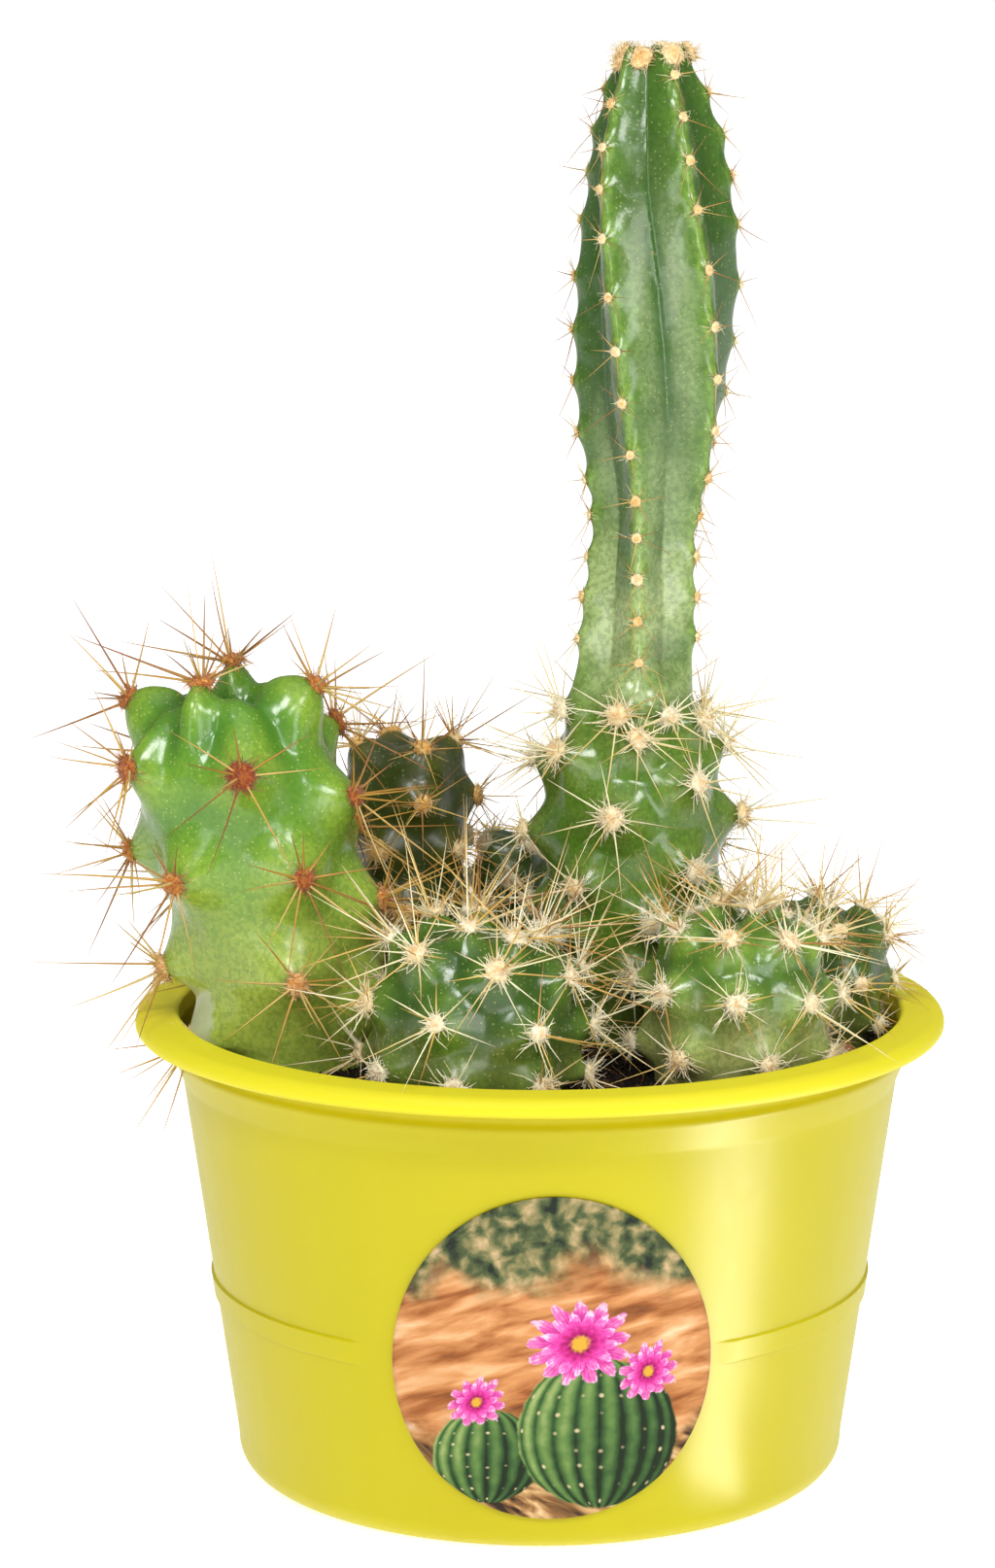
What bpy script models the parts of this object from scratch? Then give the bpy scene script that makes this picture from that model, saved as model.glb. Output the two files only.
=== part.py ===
# A potted cactus arrangement: seven small cacti planted in a flanged plastic pot.
# The origin is the centre of the pot's underside and +Z is up. The front of the arrangement faces -Y.
# Lengths in the tables are millimetres and are turned into metres by MM.
# A plant's angle 0 faces the front and grows towards +X. A plant's height 0 is the soil line.

import bisect
import math
import random

import bmesh
import bpy
from mathutils import Euler, Matrix, Vector, geometry, noise
from mathutils.bvhtree import BVHTree

MM = 0.001
FIT_GAP = 0.35  # clearance between pieces that touch

# Pot, a thin moulded shell with a wide lip, a stacking ledge and a raised band
POT_SIDES = 36
POT_HEIGHT = 70.0
LIP_RADIUS = 60.0
MOUTH_RADIUS = 53.5
LEDGE_RADIUS = 54.75
LEDGE_HEIGHT = 64.2
WALL_TOP_RADIUS = 53.0
WALL_TOP_HEIGHT = 60.0
WALL_FOOT_RADIUS = 45.3
WALL_FOOT_HEIGHT = 5.0
BASE_RADIUS = 41.3
FOOT_RISE = 0.3  # the foot's rounding ends this far above the surface it stands on
WALL = 1.3
LIP_ROUND = 1.8
LIP_DROOP = 1.0  # how far the lip's edge hangs below its roll
BAND_LOW, BAND_HIGH = 26.7, 30.4
BAND_PROUD = 0.4
BAND_ROOT = 0.6
BAND_GAP_ANGLE = 65.0  # the band stops each side of the round sticker
DRAIN_HOLES = 6
DRAIN_SIDES = 10
DRAIN_RADIUS = 3.0
DRAIN_CIRCLE = 27.0

# Sticker, a thin round sheet that follows the wall
STICKER_HALF_WIDTH = 23.2
STICKER_HALF_HEIGHT = 24.6
STICKER_HEIGHT = 30.0
STICKER_ANGLE = 2.2
STICKER_THICKNESS = 0.5
STICKER_SIDES = 28
STICKER_RINGS = 3

# Soil
SOIL_HEIGHT = 64.0
SOIL_SIDES = 40
SOIL_RINGS = 6
SOIL_LUMP = 0.9
SOIL_LUMP_SIZE = 9.0
SOIL_SAG = 0.4  # the lumpy surface lies this far below the soil line
PLANTING_DEPTH = 10.0
HOLE_SIDES = 20

# Skin and spines
LEAST_TUFT_RADIUS = 2.5  # a bump on the very top is shaped as if it stood this far from the middle
SPINE_SIDES = 3
SPINE_ROOT = 1.4  # how deep a spine starts under the skin
CUSHION_SIDES = 5
CUSHION_ROOT = 1.6
SPINE_APART = 0.9  # least distance between spines of two plants
SPINE_CLEAR = 0.8  # least distance between a spine and another piece
# how far a spine is raised and what share of its length is left, in the order they are tried
SPINE_TRIES = ((0.0, 1.0), (0.5, 1.0), (0.0, 0.7), (1.0, 0.8), (0.5, 0.5), (1.5, 0.5))

# Each plant, in heights above the soil:
# axis is the line through its middle, as (x, y, height) points.
# outline is its turned shape between the bumps, as (radius, height) points.
# tufts are the spine cushions, as (angle, height) pairs, and rows are rings of them, as (height, first, count).
# bump is the swelling under a tuft: proud, half width, half length and how pointed it is.
PLANTS = {
    "cactus_left": {
        "axis": [(-35.7, -6.5, 0), (-37.3, -6.7, 12), (-39.3, -7.0, 21), (-42.1, -7.2, 33), (-44.6, -7.4, 44),
                 (-45.8, -7.5, 54)],
        "outline": [(12.4, 0), (12.6, 6), (12.9, 14), (13.3, 22), (14.0, 33), (13.8, 40), (12.9, 46), (11.7, 50),
                    (9.2, 53.0), (5.6, 53.6), (0, 50.6)],
        "tufts": [(-22, 55.5), (8, 43.5), (24, 28.0), (10, 14.0), (76, 51.5), (66, 36.0), (74, 20.5), (66, 7.5),
                  (120, 44.5), (130, 29.0), (122, 13.0), (170, 55.0), (182, 38.5), (186, 23.0), (178, 8.0),
                  (-95, 51.5), (-98, 34.0), (-84, 17.5), (-140, 44.0), (-142, 26.5), (-138, 10.0),
                  (-58, 45.5), (-56, 31.5), (-62, 5.5)],
        "rows": [], "bump": (3.0, 6.4, 6.4, 1.2), "sides": 30, "ring_step": 4.1,
        "spines": (4, 1), "spine_length": (12.0, 19.0), "spine_radius": 0.32, "cushion": (2.0, 1.1),
        "colour": (0.13, 0.36, 0.06), "seed": 11,
    },
    "cactus_tall": {
        "axis": [(14.0, 6.0, 0), (13.9, 6.4, 30), (13.8, 6.8, 52), (15.2, 7.3, 70), (16.4, 7.7, 84),
                 (17.2, 8.0, 108), (16.9, 8.0, 126), (16.1, 8.0, 147)],
        "outline": [(11.0, 0), (11.3, 8), (11.9, 17), (12.6, 27), (12.7, 34), (11.6, 40), (9.6, 45), (8.3, 48.6),
                    (8.4, 50.6), (8.7, 54), (8.6, 61), (8.2, 67), (7.9, 72), (7.8, 75), (8.2, 79), (9.3, 84),
                    (10.7, 91), (11.6, 98), (12.0, 106), (12.1, 114), (11.5, 121), (10.5, 128), (9.7, 133),
                    (7.6, 139), (6.0, 143), (5.2, 145.6), (4.0, 146.9), (0, 147.0)],
        "tufts": [(-12, 50.2), (26, 50.0), (60, 47.0), (3, 45.2), (-66, 49.0), (-55, 42.6), (88, 42.6), (-98, 40.6),
                  (38, 38.8), (-12, 34.8), (86, 33.0), (-88, 31.0), (34, 27.0), (-33, 24.6), (9, 19.6),
                  (-48, 17.0), (70, 20.0), (-100, 20.0), (0, 11.0), (48, 10.0), (105, 11.0), (-70, 8.0)],
        "rows": [(47.5, 112, 1), (48.5, 160, 1), (47.0, 208, 1), (39.0, 133, 3), (28.0, 126, 3), (17.0, 140, 3),
                 (7.5, 150, 2)],
        "row_step": 45.0,
        "bump": (2.9, 4.4, 4.0, 1.0), "sides": 32, "ring_step": 3.7,
        "spines": (3, 1), "spine_length": (7.0, 12.0), "spine_radius": 0.28, "cushion": (1.6, 0.9),
        "colour": (0.08, 0.25, 0.05), "seed": 23,
        # the slender shoot above the stock has ribs, which turn slowly below the twist height
        "shoot": {"from": 50.6, "ribs": (5, 26.0), "twist": (126.0, 0.70), "groove": 0.29,
                  "heights": (138.0, 132.0, 126.0, 119.0, 110.5, 102.5, 95.0, 87.5, 80.5, 75.0, 69.0, 63.0, 57.0),
                  "shifts": (3.8, 1.0, 4.6, 2.2, 0.0), "bump": (0.8, 2.3, 2.1, 1.2), "spines": (1, 0),
                  "spine_length": (4.5, 6.5), "spine_radius": 0.2, "ring_step": 4.4},
    },
    "cactus_front": {
        "axis": [(-9.6, -31.4, 0), (-8.6, -31.2, 12), (-7.0, -30.6, 22)],
        "outline": [(12.6, 0), (13.5, 4), (13.9, 9), (13.5, 13), (12.3, 17), (10.1, 20.2), (7.0, 22.0),
                    (3.4, 22.0), (0, 21.2)],
        "tufts": [],
        "rows": [(4.6, -9, 8), (11.8, -21, 7), (18.3, 5, 7), (21.8, -24, 5), (21.6, 20, 2)],
        "bump": (2.4, 4.4, 4.0, 1.0), "sides": 26, "ring_step": 3.1,
        "spines": (2, 1), "spine_length": (8.0, 14.0), "spine_radius": 0.28, "cushion": None,
        "colour": (0.07, 0.22, 0.05), "seed": 37,
    },
    "cactus_right": {
        "axis": [(27.9, -21.6, 0), (28.3, -21.3, 12), (29.0, -20.9, 22)],
        "outline": [(11.4, 0), (12.0, 4), (12.4, 8), (12.3, 12), (11.4, 16), (9.7, 19.4), (7.1, 21.8),
                    (3.6, 22.6), (0, 22.0)],
        "tufts": [],
        "rows": [(5.0, 17, 7), (12.8, -3, 8), (20.0, -12, 8), (22.6, 20, 4)],
        "bump": (2.3, 4.2, 3.9, 1.0), "sides": 26, "ring_step": 3.1,
        "spines": (2, 1), "spine_length": (7.0, 12.0), "spine_radius": 0.28, "cushion": None,
        "colour": (0.11, 0.29, 0.07), "seed": 41,
    },
    "cactus_right_back": {
        "axis": [(40.8, 0.8, 0), (42.0, 1.0, 10), (43.6, 1.2, 19)],
        "outline": [(7.9, 0), (8.4, 4), (8.8, 8), (8.6, 12), (8.1, 15.5), (6.8, 18.0), (4.0, 19.2), (0, 18.8)],
        "tufts": [],
        "rows": [(4.4, 60, 6), (11.0, 88, 6), (17.2, 62, 6), (19.2, 100, 3)],
        "bump": (1.9, 3.5, 3.3, 1.0), "sides": 20, "ring_step": 3.2,
        "spines": (2, 0), "spine_length": (6.0, 10.0), "spine_radius": 0.26, "cushion": None,
        "colour": (0.06, 0.19, 0.05), "seed": 53,
    },
    "cactus_back": {
        "axis": [(-20.6, 24.0, 0), (-20.7, 24.2, 20), (-20.4, 24.6, 39)],
        "outline": [(7.9, 0), (8.3, 10), (8.7, 20), (9.0, 29), (8.6, 36), (7.0, 39.4), (3.6, 40.6), (0, 40.0)],
        "tufts": [],
        "rows": [(39.6, -160, 4), (33.0, 15, 5), (25.8, -21, 5), (16.5, 0, 5), (8.5, 36, 5)],
        "bump": (2.1, 3.8, 3.8, 1.0), "sides": 20, "ring_step": 3.9,
        "spines": (2, 0), "spine_length": (8.0, 13.0), "spine_radius": 0.28, "cushion": None,
        "colour": (0.04, 0.13, 0.03), "seed": 61,
    },
    "cactus_small": {
        "axis": [(-4.6, 34.0, 0), (-4.4, 34.1, 24)],
        "outline": [(5.0, 0), (5.5, 8), (5.8, 15), (5.6, 20), (4.4, 23.6), (2.4, 24.8), (0, 24.4)],
        "tufts": [],
        "rows": [(5.5, 0, 4), (12.0, 45, 4), (18.5, 0, 5), (23.6, 36, 4)],
        "bump": (1.1, 2.8, 2.8, 1.0), "sides": 16, "ring_step": 3.8,
        "spines": (2, 0), "spine_length": (5.0, 8.0), "spine_radius": 0.24, "cushion": None,
        "colour": (0.07, 0.14, 0.05), "seed": 71,
    },
}

# Two pieces of bark that lie on the soil at the right edge: size, place, turn about X, Y and Z in degrees
BARK = {
    "bark_dark": {"size": (5.6, 3.6, 2.0), "place": (46.2, 13.6), "turn": (8.0, 12.0, 70.0),
                  "colour": (0.09, 0.02, 0.015)},
    "bark_tan": {"size": (6.2, 3.2, 1.8), "place": (45.0, -13.4), "turn": (-6.0, -10.0, 112.0),
                 "colour": (0.42, 0.20, 0.10)},
}


def clear_scene():
    for old in list(bpy.data.objects):
        bpy.data.objects.remove(old)


def make_collection(name):
    made = bpy.data.collections.new(name)
    bpy.context.scene.collection.children.link(made)
    return made


def make_material(name, colour, roughness):
    made = bpy.data.materials.new(name)
    made.use_nodes = True
    shader = made.node_tree.nodes["Principled BSDF"]
    shader.inputs["Base Color"].default_value = (*colour, 1.0)
    shader.inputs["Roughness"].default_value = roughness
    shader.inputs["Metallic"].default_value = 0.0
    made.diffuse_color = (*colour, 1.0)
    return made


def make_object(name, mesh, collection, material=None):
    made = bpy.data.objects.new(name, mesh)
    collection.objects.link(made)
    if material is not None:
        mesh.materials.append(material)
    return made


def mesh_from(bm, name):
    mesh = bpy.data.meshes.new(name)
    bm.to_mesh(mesh)
    bm.free()
    return mesh


def set_material(obj, material):
    obj.data.materials.clear()
    obj.data.materials.append(material)


def shade_round(obj, degrees=35.0):
    obj.data.shade_smooth()
    obj.data.set_sharp_from_angle(angle=math.radians(degrees))


def apply_modifiers(obj):
    """Replaces the object's mesh by what its modifiers make of it."""
    bpy.context.view_layer.update()
    graph = bpy.context.evaluated_depsgraph_get()
    made = bpy.data.meshes.new_from_object(obj.evaluated_get(graph))
    obj.modifiers.clear()
    old = obj.data
    obj.data = made
    bpy.data.meshes.remove(old)
    obj.data.name = obj.name


def screw_profile(name, points, sides, collection, angle=360.0, closed=False):
    """A turned object from (radius, height) points in millimetres."""
    bm = bmesh.new()
    verts = [bm.verts.new((r * MM, 0.0, z * MM)) for r, z in points]
    for a, b in zip(verts, verts[1:]):
        bm.edges.new((a, b))
    if closed:
        bm.edges.new((verts[-1], verts[0]))
    obj = make_object(name, mesh_from(bm, name), collection)
    screw = obj.modifiers.new("turn", "SCREW")
    screw.axis = "Z"
    screw.angle = math.radians(angle)
    screw.steps = sides
    screw.render_steps = sides
    screw.use_merge_vertices = True
    screw.merge_threshold = 1e-5
    return obj


def boolean(obj, operation, other, solver="EXACT"):
    """Joins or cuts with one object or a whole collection, and applies it."""
    step = obj.modifiers.new(operation.lower(), "BOOLEAN")
    step.operation = operation
    step.solver = solver
    if isinstance(other, bpy.types.Collection):
        step.operand_type = "COLLECTION"
        step.collection = other
    else:
        step.object = other
    apply_modifiers(obj)


def remove_with_collection(collection):
    for old in list(collection.objects):
        bpy.data.objects.remove(old)
    bpy.data.collections.remove(collection)


def tree_of(obj):
    bpy.context.view_layer.update()
    return BVHTree.FromObject(obj, bpy.context.evaluated_depsgraph_get())


def mix(a, b, share):
    return a + (b - a) * share


def smooth_step(value):
    value = min(1.0, max(0.0, value))
    return value * value * (3.0 - 2.0 * value)


def curve_through(points, steps):
    """A smooth curve through 2D points, as a list of 2D points."""
    padded = [points[0], *points, points[-1]]
    made = []
    for p0, p1, p2, p3 in zip(padded, padded[1:], padded[2:], padded[3:]):
        for step in range(steps):
            t = step / steps
            made.append(tuple(
                0.5 * (2 * b + (c - a) * t + (2 * a - 5 * b + 4 * c - d) * t * t
                       + (3 * b - a - 3 * c + d) * t ** 3)
                for a, b, c, d in zip(p0, p1, p2, p3)))
    made.append(tuple(points[-1]))
    return made


def pot_wall_radius(height):
    """The outer radius of the plain wall between its foot and its top."""
    share = (height - WALL_FOOT_HEIGHT) / (WALL_TOP_HEIGHT - WALL_FOOT_HEIGHT)
    return mix(WALL_FOOT_RADIUS, WALL_TOP_RADIUS, share)


def pot_inner_radius(height):
    return pot_wall_radius(height) - WALL


def arc(centre, radius, start, end, steps):
    """Points on an arc in the (radius, height) plane, angles in degrees."""
    made = []
    for step in range(steps + 1):
        a = math.radians(mix(start, end, step / steps))
        made.append((centre[0] + radius * math.cos(a), centre[1] + radius * math.sin(a)))
    return made


def pot_profile():
    """From the middle of the floor inside, up over the lip and down the outside to the middle of the underside."""
    foot_round = WALL_FOOT_RADIUS - BASE_RADIUS
    lip_middle = (LIP_RADIUS - LIP_ROUND, POT_HEIGHT - LIP_ROUND - 0.1)
    lip_under = lip_middle[1] - LIP_DROOP
    inside = [
        (0.0, WALL), (BASE_RADIUS - 0.4, WALL), (pot_inner_radius(WALL_FOOT_HEIGHT), WALL_FOOT_HEIGHT),
        (pot_inner_radius(WALL_TOP_HEIGHT), WALL_TOP_HEIGHT - 0.3), (MOUTH_RADIUS - 0.5, LEDGE_HEIGHT - 0.8),
        (MOUTH_RADIUS - 0.3, LEDGE_HEIGHT + 1.8), (MOUTH_RADIUS, POT_HEIGHT - 0.4),
    ]
    lip = [
        (MOUTH_RADIUS + 0.5, POT_HEIGHT), (LIP_RADIUS - 2.6, POT_HEIGHT - 0.1),
        *arc(lip_middle, LIP_ROUND, 70.0, -12.0, 3),
        (LIP_RADIUS - 0.5, lip_under), (LIP_RADIUS - 1.5, lip_under + 0.8),
        (LIP_RADIUS - 2.6, lip_under + 1.5), (LEDGE_RADIUS + 0.9, lip_under + 1.4),
    ]
    outside = [
        (LEDGE_RADIUS - 0.3, lip_under + 0.3), (LEDGE_RADIUS - 0.45, LEDGE_HEIGHT + 0.9),
        (LEDGE_RADIUS, LEDGE_HEIGHT), (LEDGE_RADIUS - 0.4, LEDGE_HEIGHT - 0.9),
        (WALL_TOP_RADIUS, WALL_TOP_HEIGHT), (WALL_FOOT_RADIUS, WALL_FOOT_HEIGHT),
        *arc((BASE_RADIUS, foot_round + FOOT_RISE), foot_round, -10.0, -70.0, 2),
        (BASE_RADIUS, 0.0), (0.0, 0.0),
    ]
    return inside + lip + outside


def build_band(collection):
    """The raised band, open in front and rooted in the wall."""
    low, high, slant = pot_wall_radius(BAND_LOW), pot_wall_radius(BAND_HIGH), 0.2
    profile = [
        (low - BAND_ROOT, BAND_LOW), (high - BAND_ROOT, BAND_HIGH), (high, BAND_HIGH),
        (high + BAND_PROUD, BAND_HIGH - slant), (low + BAND_PROUD, BAND_LOW + slant), (low, BAND_LOW),
    ]
    span = 360.0 - BAND_GAP_ANGLE
    band = screw_profile("band_ring", profile, round(POT_SIDES * span / 360.0), collection, span, closed=True)
    apply_modifiers(band)
    bm = bmesh.new()
    bm.from_mesh(band.data)
    bmesh.ops.holes_fill(bm, edges=[e for e in bm.edges if e.is_boundary])
    # a turned stretch starts on +X, so it is turned to start beside the gap in front
    turn = math.radians(-90.0 + BAND_GAP_ANGLE / 2.0)
    bmesh.ops.rotate(bm, verts=bm.verts, matrix=Matrix.Rotation(turn, 3, "Z"))
    bmesh.ops.recalc_face_normals(bm, faces=bm.faces)
    bm.to_mesh(band.data)
    bm.free()
    return band


def add_cylinder(name, middle, radius, depth, sides, collection):
    """An upright cylinder, in millimetres."""
    bm = bmesh.new()
    bmesh.ops.create_cone(bm, cap_ends=True, segments=sides, radius1=radius * MM, radius2=radius * MM,
                          depth=depth * MM, matrix=Matrix.Translation(Vector(middle) * MM))
    make_object(name, mesh_from(bm, name), collection)


def build_pot(collection, cutters, material):
    pot = screw_profile("pot", pot_profile(), POT_SIDES, collection)
    apply_modifiers(pot)
    band = build_band(cutters)
    boolean(pot, "UNION", band)
    bpy.data.objects.remove(band)
    drains = make_collection("drain_cutters")
    for number in range(DRAIN_HOLES):
        a = math.tau * (number + 0.5) / DRAIN_HOLES
        middle = (DRAIN_CIRCLE * math.cos(a), DRAIN_CIRCLE * math.sin(a), 0.0)
        add_cylinder(f"drain_{number}", middle, DRAIN_RADIUS, 6 * WALL, DRAIN_SIDES, drains)
    boolean(pot, "DIFFERENCE", drains)
    remove_with_collection(drains)
    set_material(pot, material)
    shade_round(pot)
    return pot


def build_sticker(collection, material):
    """A round sheet on the sloping wall: each point goes round the pot by its sideways distance."""
    rings = [ring / STICKER_RINGS for ring in range(STICKER_RINGS + 1)]
    thickness = STICKER_THICKNESS
    profile = [(share / MM, thickness) for share in rings] + [(share / MM, 0.0) for share in rings[::-1]]
    sticker = screw_profile("sticker", profile, STICKER_SIDES, collection)
    apply_modifiers(sticker)
    middle = pot_wall_radius(STICKER_HEIGHT)
    slope = math.atan2(WALL_TOP_RADIUS - WALL_FOOT_RADIUS, WALL_TOP_HEIGHT - WALL_FOOT_HEIGHT)
    for vert in sticker.data.vertices:
        height = STICKER_HEIGHT + vert.co.y * STICKER_HALF_HEIGHT * math.cos(slope)
        radius = pot_wall_radius(height) + FIT_GAP + vert.co.z / MM
        a = math.radians(STICKER_ANGLE) + vert.co.x * STICKER_HALF_WIDTH / middle
        vert.co = Vector((radius * math.sin(a), -radius * math.cos(a), height)) * MM
    set_material(sticker, material)
    shade_round(sticker)
    return sticker


class Plant:
    """The turned outline of one cactus, with its ribs and bumps raised along the outward direction."""

    def __init__(self, name, facts):
        self.name = name
        self.facts = facts
        self.shoot = {**facts, **facts["shoot"]} if "shoot" in facts else None
        self.foot = facts["axis"][0][:2]
        self.foot_radius = facts["outline"][0][0]
        bottom = FIT_GAP - PLANTING_DEPTH
        self.path = [(0.0, bottom), (self.foot_radius, bottom), *curve_through(facts["outline"], 8)]
        self.run = [0.0]
        for a, b in zip(self.path, self.path[1:]):
            self.run.append(self.run[-1] + math.dist(a, b))
        self.soil_run = self.run[2]
        self.crown_run = self.run_at_height(self.shoot["from"]) if self.shoot else self.run[-1]
        self.top = facts["axis"][-1][2]
        self.tufts = self.place_tufts()

    def profile_at(self, run):
        """(radius, height, outward direction in the profile's plane) at a distance along the outline."""
        run = min(max(run, 0.0), self.run[-1])
        low = min(bisect.bisect_right(self.run, run) - 1, len(self.run) - 2)
        a, b = self.path[low], self.path[low + 1]
        share = (run - self.run[low]) / (self.run[low + 1] - self.run[low])
        along = Vector((b[0] - a[0], b[1] - a[1])).normalized()
        return mix(a[0], b[0], share), mix(a[1], b[1], share), Vector((along.y, -along.x))

    def run_at_height(self, height):
        """Where the outline first reaches a height, or the highest place if it never does."""
        points = list(zip(self.run, self.path))[2:]
        for (run_a, a), (run_b, b) in zip(points, points[1:]):
            if b[1] >= height:
                return mix(run_a, run_b, (height - a[1]) / (b[1] - a[1]))
        return max(points, key=lambda point: point[1][1])[0]

    def rib_angle(self, number, height):
        count, first = self.shoot["ribs"]
        start, rate = self.shoot["twist"]
        return first + 360.0 * number / count + rate * max(0.0, start - height)

    def place_tufts(self):
        """The spine cushions: the single ones, those in rings, and those down the ribs of a shoot."""
        facts = self.facts
        spots = list(facts["tufts"])
        for height, first, count in facts["rows"]:
            step = facts.get("row_step", 360.0 / count)
            spots += [(first + step * number, height) for number in range(count)]
        made = [self.tuft(facts, angle, height) for angle, height in spots]
        if self.shoot:
            for number, shift in enumerate(self.shoot["shifts"]):
                for height in self.shoot["heights"]:
                    angle = self.rib_angle(number, height + shift)
                    made.append(self.tuft(self.shoot, angle, height + shift))
        return made

    def tuft(self, facts, angle, height):
        run = self.run_at_height(height)
        radius = max(self.profile_at(run)[0], LEAST_TUFT_RADIUS)
        # a bump is narrower where the plant closes towards its top
        narrowing = min(1.0, radius / (0.85 * self.foot_radius))
        return {"run": run, "angle": angle, "radius": radius, "narrowing": narrowing, "facts": facts}

    def relief(self, angle, run):
        """How far the skin stands out at this angle (degrees) and distance along the outline."""
        radius, height, _ = self.profile_at(run)
        raised = 0.0
        for tuft in self.tufts:
            proud, half_width, half_length, point = tuft["facts"]["bump"]
            up = (run - tuft["run"]) / half_length
            turn = (angle - tuft["angle"] + 180.0) % 360.0 - 180.0
            across = math.radians(turn) * tuft["radius"] / (half_width * tuft["narrowing"])
            distance = math.hypot(up, across)
            if distance < 2.5:
                raised = math.hypot(raised, proud * math.exp(-1.5 * distance ** (2.0 / point)))
        if self.shoot:
            in_shoot = smooth_step((height - self.shoot["from"] + 1.0) / 8.0)
            raised -= in_shoot * self.shoot["groove"] * radius * self.away_from_rib(angle, height)
        above_soil = smooth_step((run - self.soil_run - 0.5) / 4.0)
        below_crown = smooth_step((self.run[-1] - run) / 3.0)
        return raised * above_soil * below_crown

    def away_from_rib(self, angle, height):
        """0 on a rib's crest and 1 in the middle between two, with hollow sides and a rounded crest."""
        width = 360.0 / self.shoot["ribs"][0]
        turn = (angle - self.rib_angle(0, height) + width / 2.0) % width - width / 2.0
        share = math.hypot(turn / (width / 2.0), 0.12) - 0.12
        return 1.0 - (1.0 - min(1.0, share)) ** 1.6

    def axis_at(self, height):
        """The middle of the plant at a height, and the direction in which it grows there."""
        axis = self.facts["axis"]
        level = min(max(height, 0.0), self.top)
        low = max(0, min(bisect.bisect_right([point[2] for point in axis], level) - 1, len(axis) - 2))
        share = (level - axis[low][2]) / (axis[low + 1][2] - axis[low][2])
        near = [Vector(axis[max(0, min(low + step, len(axis) - 1))]) for step in (-1, 0, 1, 2)]
        start, finish = (near[2] - near[0]) / 2.0, (near[3] - near[1]) / 2.0
        cube, square = share ** 3, share ** 2
        point = ((2 * cube - 3 * square + 1) * near[1] + (cube - 2 * square + share) * start
                 + (3 * square - 2 * cube) * near[2] + (cube - square) * finish)
        slope = ((6 * square - 6 * share) * (near[1] - near[2]) + (3 * square - 4 * share + 1) * start
                 + (3 * square - 2 * share) * finish)
        tilt = smooth_step(height / 6.0) / slope.z
        up = Vector((slope.x * tilt, slope.y * tilt, 1.0)).normalized()
        return Vector((point.x, point.y, SOIL_HEIGHT + height)), up

    def point(self, angle, run, raised=None):
        """A point of the skin in metres."""
        radius, height, outward = self.profile_at(run)
        lift = self.relief(angle, run) if raised is None else raised
        radius = max(0.0, radius + outward.x * lift)
        middle, up = self.axis_at(height)
        right = Vector((0.0, 1.0, 0.0)).cross(up).normalized()
        back = up.cross(right)
        a = math.radians(angle)
        return (middle + (right * math.sin(a) - back * math.cos(a)) * radius + up * outward.y * lift) * MM

    def outward(self, angle, run):
        """The direction straight out of the plain outline."""
        return (self.point(angle, run, 1.0) - self.point(angle, run, 0.0)).normalized()

    def stations(self):
        """Distances along the outline at which the mesh has a ring of points."""
        stretches = [(self.soil_run, self.crown_run, self.facts["ring_step"])]
        if self.shoot:
            stretches.append((self.crown_run, self.run[-1], self.shoot["ring_step"]))
        made = [0.0, self.run[1], self.soil_run]
        for low, high, step in stretches:
            count = max(2, round((high - low) / step))
            made += [mix(low, high, (number + 1) / count) for number in range(count)]
        return made


def build_plant_body(plant, collection, material):
    """A sphere's rings are moved to the plant's own outline."""
    stations = plant.stations()
    rings = len(stations) - 1
    bm = bmesh.new()
    bmesh.ops.create_uvsphere(bm, u_segments=plant.facts["sides"], v_segments=rings, radius=1.0)
    for vert in bm.verts:
        ring = round(math.acos(max(-1.0, min(1.0, -vert.co.z))) / math.pi * rings)
        angle = math.degrees(math.atan2(vert.co.y, vert.co.x)) + 90.0
        vert.co = plant.point(angle, stations[ring])
    return make_object(plant.name, mesh_from(bm, plant.name), collection, material)


def build_soil(plants, collection, material):
    """Fills the pot to just below its ledge, with a plain hole for each plant."""
    floor = WALL + FIT_GAP
    side = [(BASE_RADIUS - 1.0, floor), (pot_inner_radius(WALL_FOOT_HEIGHT) - FIT_GAP, WALL_FOOT_HEIGHT + 0.4),
            (pot_inner_radius(WALL_TOP_HEIGHT) - FIT_GAP, WALL_TOP_HEIGHT - 0.5)]
    edge = MOUTH_RADIUS - 0.5 - 2 * FIT_GAP
    top = [(mix(edge, 0.0, ring / SOIL_RINGS), SOIL_HEIGHT) for ring in range(SOIL_RINGS + 1)]
    profile = [(0.0, floor), *side, *top]
    soil = screw_profile("soil", profile[::-1], SOIL_SIDES, collection)
    apply_modifiers(soil)
    for vert in soil.data.vertices:
        if vert.co.z > (SOIL_HEIGHT - 0.1) * MM:
            near = min(math.dist(plant.foot, vert.co.xy / MM) - plant.foot_radius for plant in plants)
            lump = SOIL_LUMP * noise.noise(vert.co / (SOIL_LUMP_SIZE * MM))
            vert.co.z += (lump * smooth_step(near / 6.0) - SOIL_SAG) * MM
    holes = make_collection("planting_holes")
    for plant in plants:
        radius = (plant.foot_radius + FIT_GAP) / math.cos(math.pi / HOLE_SIDES)
        add_cylinder(f"hole_{plant.name}", (*plant.foot, SOIL_HEIGHT), radius, 2 * PLANTING_DEPTH, HOLE_SIDES, holes)
    boolean(soil, "DIFFERENCE", holes)
    remove_with_collection(holes)
    set_material(soil, material)
    return soil


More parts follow.
